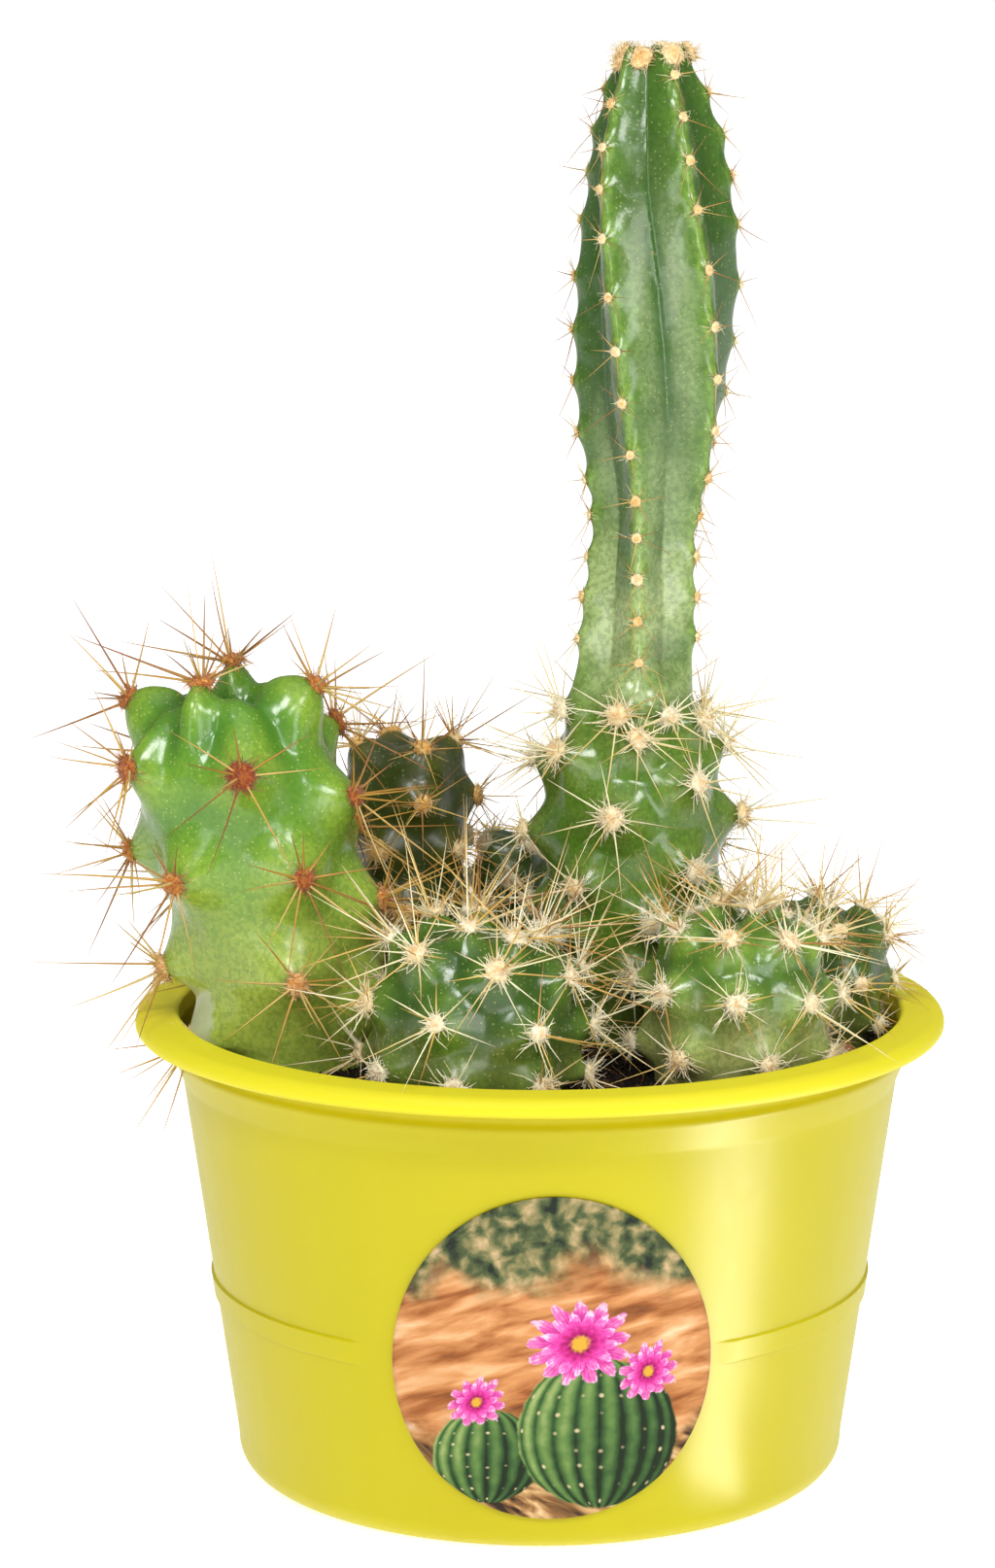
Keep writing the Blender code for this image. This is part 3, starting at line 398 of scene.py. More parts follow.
# cacti: axis is the line through a plant's middle as (x, y, height); outline its turned shape between the
# bumps as (radius, height); tufts are areoles as (angle, height), rows rings of them as (height, first, count);
# bump is the swelling under an areole: proud, half width, half length and how pointed it is;
# woolAge: up to this height an old plant's wool has bleached; then the reach over which its colour comes back,
# and the share of it that is left below
cactusSettings = {
    "cactus_left": {
        "title": "leftCactus", "slot": "skin_left",
        "axis": [(-35.7, -6.5, 0), (-37.3, -6.7, 12), (-39.3, -7.0, 21), (-42.1, -7.2, 33),
                 (-44.6, -7.4, 44), (-45.8, -7.5, 54)],
        "outline": [(12.4, 0), (12.6, 6), (12.9, 14), (13.3, 22), (14.0, 33), (13.8, 40), (12.9, 46),
                    (11.7, 50), (9.2, 53.0), (5.6, 53.6), (0, 50.6)],
        "tufts": [(-22, 55.5), (8, 43.5), (24, 28.0), (10, 14.0), (76, 51.5), (66, 36.0), (74, 20.5),
                  (66, 7.5), (120, 44.5), (130, 29.0), (122, 13.0), (170, 55.0), (182, 38.5), (186, 23.0),
                  (178, 8.0), (-95, 51.5), (-98, 34.0), (-84, 17.5), (-140, 44.0), (-142, 26.5),
                  (-138, 10.0), (-58, 45.5), (-38, 31.0), (-62, 5.5)],
        "rows": [], "bump": (4.6, 5.9, 5.9, 1.35), "sides": 216, "step": 0.42, "seed": 11,
        "folds": ((-42, -6, 42, 98, 150, -160, -118, -72), 40.0, 1.7, 2.3),
        "pad": (1.9, 0.9), "hair": (1.25, 0.065), "hairs": 5.0e6, "warm": (0.55, 0.95),
        "spines": (8, 11), "standing": (1, 2), "length": (11.0, 22.0), "thick": (0.17, 0.23), "bend": 0.05,
        "tone": (0.28, 0.90), "woolAge": (12.0, 14.0, 0.32),
    },
    "cactus_tall": {
        "title": "tallCactus", "slot": "skin_tall",
        "axis": [(14.0, 6.0, 0), (13.9, 6.4, 30), (13.8, 6.8, 52), (15.2, 7.3, 70), (16.4, 7.7, 84),
                 (17.2, 8.0, 108), (16.9, 8.0, 126), (16.1, 8.0, 147)],
        "outline": [(11.0, 0), (11.3, 8), (11.9, 17), (12.6, 27), (12.7, 34), (11.6, 40), (9.6, 45),
                    (8.3, 48.6), (8.4, 50.6), (8.7, 54), (8.6, 61), (8.2, 67), (7.9, 72), (7.8, 75),
                    (8.2, 79), (9.3, 84), (10.7, 91), (11.6, 98), (12.0, 106), (12.1, 114), (11.5, 121),
                    (10.5, 128), (9.7, 133), (7.6, 139), (6.0, 143), (5.2, 145.2), (4.0, 146.2),
                    (0, 145.9)],
        "tufts": [(-12, 50.2), (26, 50.0), (60, 47.0), (3, 45.2), (-66, 49.0), (-55, 42.6), (88, 42.6),
                  (-98, 40.6), (38, 38.8), (-12, 34.8), (86, 33.0), (-88, 31.0), (34, 27.0), (-33, 24.6),
                  (9, 19.6), (-48, 17.0), (70, 20.0), (-100, 20.0), (0, 11.0), (48, 10.0), (105, 11.0),
                  (-70, 8.0)],
        "rows": [(47.5, 112, 1), (48.5, 160, 1), (47.0, 208, 1), (39.0, 133, 3), (28.0, 126, 3),
                 (17.0, 140, 3), (7.5, 150, 2)],
        "rowStep": 45.0, "bump": (3.8, 4.5, 4.1, 1.60), "sides": 168, "step": 0.47, "seed": 23,
        "pad": (1.75, 0.8), "hair": (1.75, 0.085), "hairs": 4.6e6, "warm": (0.0, 0.40),
        "spines": (5, 8), "standing": (0, 2), "length": (7.0, 17.0), "thick": (0.13, 0.18), "bend": 0.04,
        "tone": (0.0, 0.60),
        "denseAbove": 41.5,
        # the slender shoot above the stock has ribs, which turn slowly below the twist height
        "shoot": {"from": 50.6, "ribs": (5, 26.0), "twist": (126.0, 0.70), "groove": 0.29,
                  "heights": (138.0, 132.0, 126.0, 119.0, 110.5, 102.5, 95.0, 87.5, 80.5, 75.0, 69.0, 63.0,
                              57.0),
                  "shifts": (3.8, 1.0, 4.6, 2.2, 0.0), "bump": (0.8, 2.3, 2.1, 1.2), "spines": (4, 7),
                  "standing": (0, 0),
                  "pad": (0.8, 0.3), "hair": (0.95, 0.045), "hairs": 7.0e6, "warm": (0.30, 0.7),
                  "length": (4.0, 8.5), "thick": (0.065, 0.095), "bend": 0.08, "tone": (0.62, 0.95),
                  "denseAbove": 999.0,
                  "crown": {"angles": (-75, -20, 35, 95, 160, 230), "height": 145.0, "pad": (2.0, 0.55),
                            "hair": (1.3, 0.06), "hairs": 6.0e6,
                            "warm": (0.25, 0.6), "spines": (3, 5), "length": (2.0, 4.0),
                            "bump": (0.5, 2.0, 1.8, 1.0)}},
    },
    "cactus_front": {
        "title": "frontCactus", "slot": "skin_front",
        "axis": [(-9.6, -31.4, 0), (-8.6, -31.2, 12), (-7.0, -30.6, 22)],
        "outline": [(12.6, 0), (13.5, 4), (13.9, 9), (13.5, 13), (12.3, 17), (10.1, 20.2), (7.0, 22.0),
                    (3.4, 22.0), (0, 21.2)],
        "tufts": [], "rows": [(4.6, -9, 8), (11.8, -21, 7), (18.3, 5, 7), (21.8, -24, 5), (21.6, 20, 2)],
        "bump": (3.1, 4.5, 4.1, 1.60), "sides": 180, "step": 0.42, "seed": 37,
        "pad": (1.55, 0.75), "hair": (1.75, 0.085), "hairs": 4.8e6, "warm": (0.0, 0.35),
        "spines": (6, 9), "standing": (1, 2), "length": (7.0, 19.0), "thick": (0.12, 0.17), "bend": 0.04,
        "tone": (0.0, 0.85), "denseAbove": 17.0,
    },
    "cactus_right": {
        "title": "rightCactus", "slot": "skin_right",
        "axis": [(27.9, -21.6, 0), (28.3, -21.3, 12), (29.0, -20.9, 22)],
        "outline": [(11.4, 0), (12.0, 4), (12.4, 8), (12.3, 12), (11.4, 16), (9.7, 19.4), (7.1, 21.8),
                    (3.6, 22.6), (0, 22.0)],
        "tufts": [], "rows": [(5.0, 17, 7), (12.8, -3, 8), (20.0, -12, 8), (22.6, 20, 4)],
        "bump": (3.0, 4.3, 4.0, 1.60), "sides": 170, "step": 0.42, "seed": 41,
        "pad": (1.55, 0.75), "hair": (1.75, 0.085), "hairs": 4.8e6, "warm": (0.0, 0.35),
        "spines": (5, 8), "standing": (1, 2), "length": (6.5, 17.0), "thick": (0.12, 0.17), "bend": 0.04,
        "tone": (0.0, 0.8), "denseAbove": 18.5,
    },
    "cactus_right_back": {
        "title": "rightBackCactus", "slot": "skin_right_back",
        "axis": [(40.8, 0.8, 0), (42.0, 1.0, 10), (43.6, 1.2, 19)],
        "outline": [(7.9, 0), (8.4, 4), (8.8, 8), (8.6, 12), (8.1, 15.5), (6.8, 18.0), (4.0, 19.2),
                    (0, 18.8)],
        "tufts": [], "rows": [(4.4, 60, 6), (11.0, 88, 6), (17.2, 62, 6), (19.2, 100, 3)],
        "bump": (2.1, 3.7, 3.5, 1.3), "sides": 130, "step": 0.45, "seed": 53,
        "pad": (1.4, 0.7), "hair": (1.5, 0.065), "hairs": 3.6e6, "warm": (0.05, 0.3),
        "spines": (5, 8), "standing": (1, 2), "length": (5.5, 13.0), "thick": (0.11, 0.15), "bend": 0.03,
        "tone": (0.15, 0.8), "denseAbove": 16.0,
    },
    "cactus_back": {
        "title": "backCactus", "slot": "skin_back",
        "axis": [(-20.6, 24.0, 0), (-20.7, 24.2, 20), (-20.4, 24.6, 39)],
        "outline": [(7.9, 0), (8.3, 10), (8.7, 20), (9.0, 29), (8.6, 36), (7.0, 39.4), (3.6, 40.6),
                    (0, 40.0)],
        "tufts": [], "rows": [(39.6, -160, 4), (33.0, 15, 5), (25.8, -21, 5), (16.5, 0, 5), (8.5, 36, 5)],
        "bump": (2.3, 4.0, 4.0, 1.3), "sides": 130, "step": 0.5, "seed": 61,
        "pad": (1.7, 0.9), "hair": (1.4, 0.055), "hairs": 3.6e6, "warm": (0.30, 0.8),
        "spines": (6, 9), "standing": (1, 2), "length": (7.0, 16.0), "thick": (0.12, 0.16), "bend": 0.03,
        "tone": (0.25, 0.9), "denseAbove": 37.0,
    },
    "cactus_small": {
        "title": "smallCactus", "slot": "skin_small",
        "axis": [(-4.6, 34.0, 0), (-4.4, 34.1, 24)],
        "outline": [(5.0, 0), (5.5, 8), (5.8, 15), (5.6, 20), (4.4, 23.6), (2.4, 24.8), (0, 24.4)],
        "tufts": [], "rows": [(5.5, 0, 4), (12.0, 45, 4), (18.5, 0, 5), (23.6, 36, 4)],
        "bump": (1.1, 2.8, 2.8, 1.0), "sides": 90, "step": 0.5, "seed": 71,
        "pad": (1.6, 0.8), "hair": (1.3, 0.055), "hairs": 3.6e6, "warm": (0.0, 0.1),
        "spines": (8, 11), "standing": (1, 3), "length": (4.5, 9.5), "thick": (0.10, 0.14), "bend": 0.03,
        "tone": (0.0, 0.5), "denseAbove": 17.0,
    },
}


slimmest = 2.5  # a plant counts as no thinner than this where bumps and areoles are laid round it


def halfTurn(angle):
    # the same direction, between -180 and 180 degrees
    return (angle + 180.0) % 360.0 - 180.0


class CactusShape:
    # the turned outline of one cactus; its ribs and bumps are raised along the outward direction
    def __init__(self, node, facts):
        self.node, self.facts = node, facts
        self.shoot = {**facts, **facts["shoot"]} if "shoot" in facts else None
        self.crown = {**self.shoot, **self.shoot["crown"]} if self.shoot else None
        self.foot = facts["axis"][0][:2]
        self.footRadius = facts["outline"][0][0]
        self.top = facts["axis"][-1][2]
        bottom = fitGap - plantingDepth
        self.path = np.concatenate([[(0.0, bottom), (self.footRadius, bottom)], smoothCurve(facts["outline"], 8)])
        legs = np.diff(self.path, axis=0)
        lengths = np.hypot(legs[:, 0], legs[:, 1])
        self.run = np.concatenate([[0.0], np.cumsum(lengths)])
        across = np.stack([legs[:, 1], -legs[:, 0]], 1) / lengths[:, None]
        mean = np.concatenate([across[:1], across[:-1] + across[1:], across[-1:]])
        self.across = mean / np.hypot(mean[:, 0], mean[:, 1])[:, None]
        self.soilRun = self.run[2]
        self.tufts = self.placeTufts()

    def outlineAt(self, run):
        return [np.interp(run, self.run, column) for column in (*self.path.T, *self.across.T)]

    def runAt(self, height):
        # where the outline first reaches a height, or the highest place if it never does
        levels = self.path[2:, 1]
        higher = np.nonzero(levels >= height)[0]
        if not len(higher):
            return float(self.run[2 + int(np.argmax(levels))])
        last = max(1, int(higher[0]))
        share = (height - levels[last - 1]) / (levels[last] - levels[last - 1])
        return float(self.run[1 + last] + (self.run[2 + last] - self.run[1 + last]) * share)

    def ribAngle(self, number, height):
        (count, first), (start, rate) = self.shoot["ribs"], self.shoot["twist"]
        return first + 360.0 * number / count + rate * np.maximum(0.0, start - height)

    def placeTufts(self):
        facts = self.facts
        spots = list(facts["tufts"])
        for height, first, count in facts["rows"]:
            step = facts.get("rowStep", 360.0 / count)
            spots += [(first + step * number, height) for number in range(count)]
        made = [self.tuftAt(facts, angle, height) for angle, height in spots]
        if self.shoot:
            for number, shift in enumerate(self.shoot["shifts"]):
                for height in self.shoot["heights"]:
                    angle = float(self.ribAngle(number, height + shift))
                    made.append(self.tuftAt(self.shoot, angle, height + shift))
            made += [self.tuftAt(self.crown, angle, self.crown["height"]) for angle in self.crown["angles"]]
        return made

    def tuftAt(self, facts, angle, height):
        run = self.runAt(height)
        radius = max(float(self.outlineAt(run)[0]), slimmest)
        return {"run": run, "angle": angle, "radius": radius, "height": height, "facts": facts,
                "narrowing": min(1.0, radius / (0.85 * self.footRadius))}

    def awayFromRib(self, angle, height):
        # 0 on a rib's crest and 1 half way between two, with hollow sides and a rounded crest
        width = 360.0 / self.shoot["ribs"][0]
        turn = (angle - self.ribAngle(0, height) + width / 2.0) % width - width / 2.0
        share = np.hypot(turn / (width / 2.0), 0.12) - 0.12
        return 1.0 - (1.0 - np.minimum(1.0, share)) ** 1.6

    def relief(self, angle, run):
        # how far the skin stands out, and how close it is to an areole (1 on it)
        radius, height = self.outlineAt(run)[:2]
        broad = np.maximum(radius, slimmest)
        raised, closeness = np.zeros((2, *np.broadcast(angle, run).shape))
        for tuft in self.tufts:
            proud, halfWidth, halfLength, point = tuft["facts"]["bump"]
            turn = np.radians(halfTurn(angle - tuft["angle"]))
            across = turn * tuft["radius"] / (halfWidth * tuft["narrowing"])
            distance = np.hypot((run - tuft["run"]) / halfLength, across)
            lift = np.where(distance < 2.5, proud * np.exp(-1.5 * distance ** (2.0 / point)), 0.0)
            raised = (raised ** 4 + lift ** 4) ** 0.25  # keeps a crease between neighbours
            gap = np.hypot(run - tuft["run"], turn * broad) / (2.2 * tuft["facts"]["pad"][0])
            closeness = np.maximum(closeness, 1.0 - np.minimum(gap, 1.0))
        if self.shoot:
            inShoot = smoothStep((height - self.shoot["from"] + 1.0) / 8.0)
            raised = raised - inShoot * self.shoot["groove"] * radius * self.awayFromRib(angle, height)
        if "folds" in self.facts:
            # deep folds between the horns at the top
            places, low, depth, width = self.facts["folds"]
            for place in places:
                aside = np.radians(halfTurn(angle - place)) * broad / width
                raised = raised - depth * np.exp(-aside ** 2) * smoothStep((height - low) / 9.0)
        fade = smoothStep((run - self.soilRun - 0.5) / 4.0) * smoothStep((self.run[-1] - run) / 3.0)
        return raised * fade, closeness

    def axisAt(self, height):
        # the middle of the plant at a height, and the way its axis leans there
        axis = np.array(self.facts["axis"], float)
        level = np.clip(height, 0.0, self.top)
        low = np.clip(np.searchsorted(axis[:, 2], level, side="right") - 1, 0, len(axis) - 2)
        t = ((level - axis[low, 2]) / (axis[low + 1, 2] - axis[low, 2]))[..., None]
        near = [axis[np.clip(low + step, 0, len(axis) - 1)] for step in (-1, 0, 1, 2)]
        start, finish = (near[2] - near[0]) / 2.0, (near[3] - near[1]) / 2.0
        point = ((2 * t ** 3 - 3 * t ** 2 + 1) * near[1] + (t ** 3 - 2 * t ** 2 + t) * start
                 + (3 * t ** 2 - 2 * t ** 3) * near[2] + (t ** 3 - t ** 2) * finish)
        slope = ((6 * t ** 2 - 6 * t) * (near[1] - near[2]) + (3 * t ** 2 - 4 * t + 1) * start
                 + (3 * t ** 2 - 2 * t) * finish)
        tilt = smoothStep(height / 6.0) / slope[..., 2]
        up = np.stack([slope[..., 0] * tilt, slope[..., 1] * tilt, np.ones_like(tilt)], -1)
        up /= np.linalg.norm(up, axis=-1, keepdims=True)
        return np.stack([point[..., 0], point[..., 1], soilLine + height], -1), up

    def skinAt(self, angle, run, raised=None):
        # points of the skin, in millimetres
        angle, run = np.broadcast_arrays(np.asarray(angle, float), np.asarray(run, float))
        radius, height, outX, outZ = self.outlineAt(run)
        lift = self.relief(angle, run)[0] if raised is None else raised
        radius = np.maximum(0.0, radius + outX * lift)
        middle, up = self.axisAt(height)
        right = np.cross((0.0, 1.0, 0.0), up)
        right /= np.linalg.norm(right, axis=-1, keepdims=True)
        back = np.cross(up, right)
        a = np.radians(angle)
        side = right * np.sin(a)[..., None] - back * np.cos(a)[..., None]
        return middle + side * radius[..., None] + up * (outZ * lift)[..., None]

    def outwardAt(self, angle, run):
        way = self.skinAt(angle, run, 1.0) - self.skinAt(angle, run, 0.0)
        return way / np.linalg.norm(way, axis=-1, keepdims=True)


cacti = [CactusShape(node, facts) for node, facts in cactusSettings.items()]
dents = ((0.16, 5.0), (0.06, 1.9))  # height and width of the slight swellings of the skin


def makeSkin(cactus, material):
    facts, soilRun, end = cactus.facts, cactus.soilRun, cactus.run[-1]
    count = int(round((end - soilRun) / facts["step"]))
    runs = np.concatenate([[cactus.run[1] * 0.5, cactus.run[1], (cactus.run[1] + soilRun) / 2, soilRun],
                           soilRun + (end - soilRun) * np.arange(1, count) / count])
    sides = facts["sides"]
    angle, run = np.meshgrid(np.arange(sides) * 360.0 / sides, runs)
    raised, closeness = cactus.relief(angle, run)
    places = cactus.skinAt(angle, run, raised)
    height = cactus.outlineAt(run)[1]
    # slight dents and swellings keep the shine from looking machined
    flesh = np.array([sum(deep * noise.noise(Vector(spot) / wide) for deep, wide in dents)
                      for spot in places.reshape(-1, 3)]).reshape(run.shape)
    places = places + cactus.outwardAt(angle, run) * (flesh * smoothStep(height / 2.0))[..., None]
    ends = [cactus.skinAt(0.0, 0.0, 0.0), cactus.skinAt(0.0, end, 0.0)]
    verts = np.concatenate([places.reshape(-1, 3), ends]) * mm
    rows = len(runs)
    ring, side = np.arange(rows - 1)[:, None] * sides, np.arange(sides)
    low, after = (ring + side).ravel(), (ring + (side + 1) % sides).ravel()
    faces = np.stack([low, after, after + sides, low + sides], 1).tolist()
    first, last = rows * sides, rows * sides + 1
    for side in range(sides):
        following = (side + 1) % sides
        faces.append((first, following, side))
        faces.append((last, (rows - 1) * sides + side, (rows - 1) * sides + following))
    mesh = bpy.data.meshes.new(cactus.node)
    mesh.from_pydata(verts.tolist(), [], faces)
    mesh.polygons.foreach_set("use_smooth", [True] * len(faces))
    normals = np.empty(len(mesh.vertices) * 3)
    mesh.vertex_normals.foreach_get("vector", normals)
    # how far the skin faces the front (-Y), which places the painted sheen and painted shade on the shoot
    storeOn(mesh, "sunny", np.maximum(0.0, -normals[1::3]))
    for label, values, tip in (("relief", raised / facts["bump"][0], 0.0), ("nearAreole", closeness, 0.0),
                               ("climb", height, cactus.top)):
        storeOn(mesh, label, np.concatenate([values.ravel(), [0.0, tip]]))
    mesh.materials.append(material)
    piece = linkObject(facts["title"] + "Skin", mesh)
    handOver(piece, facts["slot"], cactus.node)
    return piece


spineHabit = {
    "tilt": (50.0, 78.0), "uneven": 0.42, "standingTilt": (4.0, 30.0),
    "crossingTilt": (4.0, 72.0), "crossingPull": (-0.15, 0.30),
    "extra": (2, 3),  # more spines, lying and standing, on the crowded areoles of a crown
    # how far a spine that would pierce something is raised, and which share of its length it keeps
    "tries": ((0.0, 1.0), (0.35, 1.0), (0.7, 0.9), (0.0, 0.6), (1.1, 0.7), (1.1, 0.45)),
}


def planSpines(cactus, trees, chance):
    # where each spine starts, how far it reaches and how it bends
    own = trees[cactus.node]
    others = [tree for name, tree in trees.items() if name != cactus.node]
    made = {name: [] for name in ("root", "reach", "sag", "thick", "tone")}
    for tuft in cactus.tufts:
        facts = tuft["facts"]
        skin = cactus.skinAt(tuft["angle"], tuft["run"])
        out = cactus.outwardAt(tuft["angle"], tuft["run"])
        side = np.cross(out, (0.0, 0.0, 1.0))
        side = side / np.linalg.norm(side) if np.linalg.norm(side) > 0.1 else np.array((1.0, 0.0, 0.0))
        up = np.cross(side, out)
        count, standing = chance.randint(*facts["spines"]), chance.randint(*facts["standing"])
        dense = tuft["height"] > facts.get("denseAbove", 999.0)
        if dense:  # the crown's crowded bristles cross each other
            count, standing = count + spineHabit["extra"][0], standing + spineHabit["extra"][1]
        first = chance.uniform(0.0, math.tau)
        plans = []
        for number in range(count):
            a = first + math.tau * (number + chance.uniform(-spineHabit["uneven"], spineHabit["uneven"])) / count
            tilt = math.radians(chance.uniform(*spineHabit["tilt"]))
            # lower spines of an areole are the long ones
            share = 0.55 + 0.45 * (0.5 - 0.5 * math.sin(a)) * chance.uniform(0.7, 1.25)
            plans.append((a, tilt, chance.uniform(*facts["length"]) * share))
        for number in range(standing):
            tilts = spineHabit["crossingTilt" if dense else "standingTilt"]
            plans.append((chance.uniform(0.0, math.tau), math.radians(chance.uniform(*tilts)),
                          chance.uniform(*facts["length"])))
        for a, tilt, length in plans:
            aside = side * math.cos(a) + up * math.sin(a)
            foot = skin + aside * facts["pad"][0] * 0.35
            for lift, share in spineHabit["tries"]:
                pull = chance.uniform(*spineHabit["crossingPull"]) if dense else 0.0
                way = out * math.cos(tilt) + aside * math.sin(tilt)
                way = way + out * lift + np.array((0.0, 0.0, 0.15 * lift + pull))
                way /= np.linalg.norm(way)
                start, reach = foot + way * 1.6 + out * 0.5, length * share
                tip = foot + way * reach
                if any(tip[axis] < boxLow[axis] or tip[axis] > boxHigh[axis] for axis in range(3)):
                    continue
                line = (Vector(start * mm), Vector(way), reach * mm)
                if all(tree.ray_cast(*line)[0] is None for tree in (*others, own)):
                    bend = np.array([chance.uniform(-1.0, 1.0) for axis in range(3)]) * facts["bend"] * reach
                    made["root"].append((foot - out * 0.3) * mm)
                    made["reach"].append((way * reach - bend) * mm)
                    made["sag"].append(bend * mm)
                    made["thick"].append(chance.uniform(*facts["thick"]) * mm)
                    ageing = 0.6 + 0.4 * min(1.0, tuft["height"] / (0.75 * cactus.top))
                    made["tone"].append(chance.uniform(*facts["tone"]) * ageing)
                    break
    return made


def spineTree():
    tree, given = newTree("cactusSpines", {"Rings": 6, "Sides": 4, "Horn": None})
    return tree.finish(strandsOn(tree, given["Geometry"], given["Rings"], given["Sides"]), given["Horn"])


def areoleTree():
    # a low felted pad on each areole and short hairs on the pad, some of them long and ragged
    tree, given = newTree("areoleWool", {
        "Hairs per square metre": 6.0e6, "Hair length": 1.0 * mm, "Hair thickness": 0.055 * mm, "Raggedness": 0.8,
        "Top limit": 0.21, "Seed": 3, "Felt": None})
    seed, out = given["Seed"], tree.read("out", "FLOAT_VECTOR")
    radius = tree.read("padRadius")
    ball = tree.add("GeometryNodeMeshIcoSphere", {"Radius": 1.0, "Subdivisions": 2})
    lay = tree.add("FunctionNodeAlignRotationToVector", {"Vector": out}, axis="Z")
    pads = tree.copies(given["Geometry"], ball, lay, tree.joined(radius, radius, tree.read("padRise")))
    lump = tree.noise(None, 1000.0, 3.0)
    push = tree.vector("SCALE", tree.add("GeometryNodeInputNormal"), scale=(lump - 0.5) * (radius * 0.95))
    pads = tree.store(tree.moved(pads, Offset=push), "along", 0.1)
    # 0 in the middle of a pad and 1 at its rim
    spot = tree.add("GeometryNodeInputPosition")
    fromMiddle = tree.vector("SUBTRACT", spot, tree.read("middle", "FLOAT_VECTOR"))
    aside = tree.length(tree.vector("SUBTRACT", fromMiddle, tree.vector("PROJECT", fromMiddle, out)))
    pads = tree.add("GeometryNodeSetShadeSmooth", {0: tree.store(pads, "rim", aside / radius)})
    hairs, normal = tree.scattered(pads, given["Hairs per square metre"], seed, (0, "Normal"))
    loose, curl = [tree.random((-1.0, -1.0, -1.0), (1.0, 1.0, 1.0), seed + number) for number in (1, 2)]
    # most hairs are short, a few are long, and those on the rim are the longest
    tall = 0.40 + tree.random(0.0, 1.0, seed + 3) ** 2.5 * 1.3
    tall = tall * (0.55 + tree.read("rim") * 0.65) * given["Hair length"] * tree.read("hairShare")
    way = tree.vector("NORMALIZE", tree.vector("ADD", normal, tree.vector("SCALE", loose, scale=given["Raggedness"])))
    for name, value in (("root", spot), ("reach", tree.vector("SCALE", way, scale=tall)),
                        ("sag", tree.vector("SCALE", curl, scale=tall * 0.45))):
        hairs = tree.store(hairs, name, value, "FLOAT_VECTOR")
    both = tree.nodes.new("GeometryNodeJoinGeometry")
    tree.fill(both, {0: strandsOn(tree, tree.store(hairs, "thick", given["Hair thickness"]), 3, 3, 0.35)})
    tree.fill(both, {0: pads})
    # nothing stands above the tip of the tallest plant
    x, y, z = tree.parts(spot)
    lowered = tree.joined(x, y, tree.maths("MINIMUM", z, given["Top limit"]))
    return tree.finish(tree.moved(Output(tree, both.outputs[0]), Position=lowered), given["Felt"])


def makeWool(cactus, tree, felt, chance):
    facts = cactus.facts
    for part, ending in ((facts, "Wool"), (cactus.shoot, "ShootWool"), (cactus.crown, "TipWool")):
        tufts = [tuft for tuft in cactus.tufts if tuft["facts"] is part]
        if not tufts:
            continue
        spots = [cactus.skinAt(tuft["angle"], tuft["run"]) for tuft in tufts]
        outs = [cactus.outwardAt(tuft["angle"], tuft["run"]) for tuft in tufts]
        radius, rise = part["pad"]
        sizes = [radius * chance.uniform(0.86, 1.12) for tuft in tufts]
        places = [(spot - out * rise * 0.25) * mm for spot, out in zip(spots, outs)]
        warm = [chance.uniform(*part["warm"]) for tuft in tufts]
        if "woolAge" in facts:
            # the low areoles of an old plant have bleached
            start, reach, least = facts["woolAge"]
            ages = [float(smoothStep((tuft["height"] - start) / reach)) for tuft in tufts]
            warm = [warmth * (least + (1.0 - least) * age) for warmth, age in zip(warm, ages)]
        points = pointCloud("areoles", places, {
            "out": outs, "middle": places, "padRadius": np.array(sizes) * mm, "padRise": [rise * mm] * len(tufts),
            "warm": warm, "hairShare": [chance.uniform(0.85, 1.15) for tuft in tufts]})
        points.name = facts["title"] + ending
        grow(points, tree, {"Hairs per square metre": part["hairs"], "Hair length": part["hair"][0] * mm,
                            "Hair thickness": part["hair"][1] * mm, "Raggedness": 1.25,
                            "Top limit": boxHigh[2] * mm, "Seed": facts["seed"], "Felt": felt})
        handOver(points, facts["slot"], cactus.node)


def makeSpines(cactus, tree, trees, horn, chance):
    plan = planSpines(cactus, trees, chance)
    piece = pointCloud(cactus.facts["title"] + "Spines", plan["root"], plan)
    grow(piece, tree, {"Horn": horn})
    handOver(piece, cactus.facts["slot"], cactus.node)
    return len(plan["root"])


# pot: one glossy moulded shell, turned from its profile
pot = {
    "height": 70.0, "lipRadius": 59.94, "mouthRadius": 53.5, "ledgeRadius": 54.75, "ledgeHeight": 64.2,
    "wallTop": (53.0, 60.0), "wallFoot": (45.3, 5.0), "baseRadius": 41.3, "footRise": 0.3, "wall": 1.3,
    "lipRound": 1.8, "lipDroop": 1.0,
    "Sides": 180, "Band low": 26.7 * mm, "Band high": 30.4 * mm, "Band proud": 0.4 * mm, "Band opening": 65.0,
    "Drain holes": 6, "Drain radius": 3.0 * mm, "Drain circle": 27.0 * mm,
}


def wallRadius(height):
    (top, topHeight), (foot, footHeight) = pot["wallTop"], pot["wallFoot"]
    return foot + (top - foot) * (height - footHeight) / (topHeight - footHeight)


def arc(centre, radius, start, end, steps):
    turns = [math.radians(start + (end - start) * step / steps) for step in range(steps + 1)]
    return [(centre[0] + radius * math.cos(a), centre[1] + radius * math.sin(a)) for a in turns]


def filleted(points, reach, steps=4):
    # rounds each corner of a profile by cutting it this far from the corner
    made = [points[0]]
    for before, corner, after in zip(points, points[1:], points[2:]):
        before, corner, after = Vector(before), Vector(corner), Vector(after)
        cut = min(reach, 0.45 * (corner - before).length, 0.45 * (after - corner).length)
        start, end = [corner + (other - corner).normalized() * cut for other in (before, after)]
        for step in range(steps + 1):
            t = step / steps
            made.append(tuple(start * (1 - t) ** 2 + corner * 2 * t * (1 - t) + end * t * t))
    return made + [points[-1]]


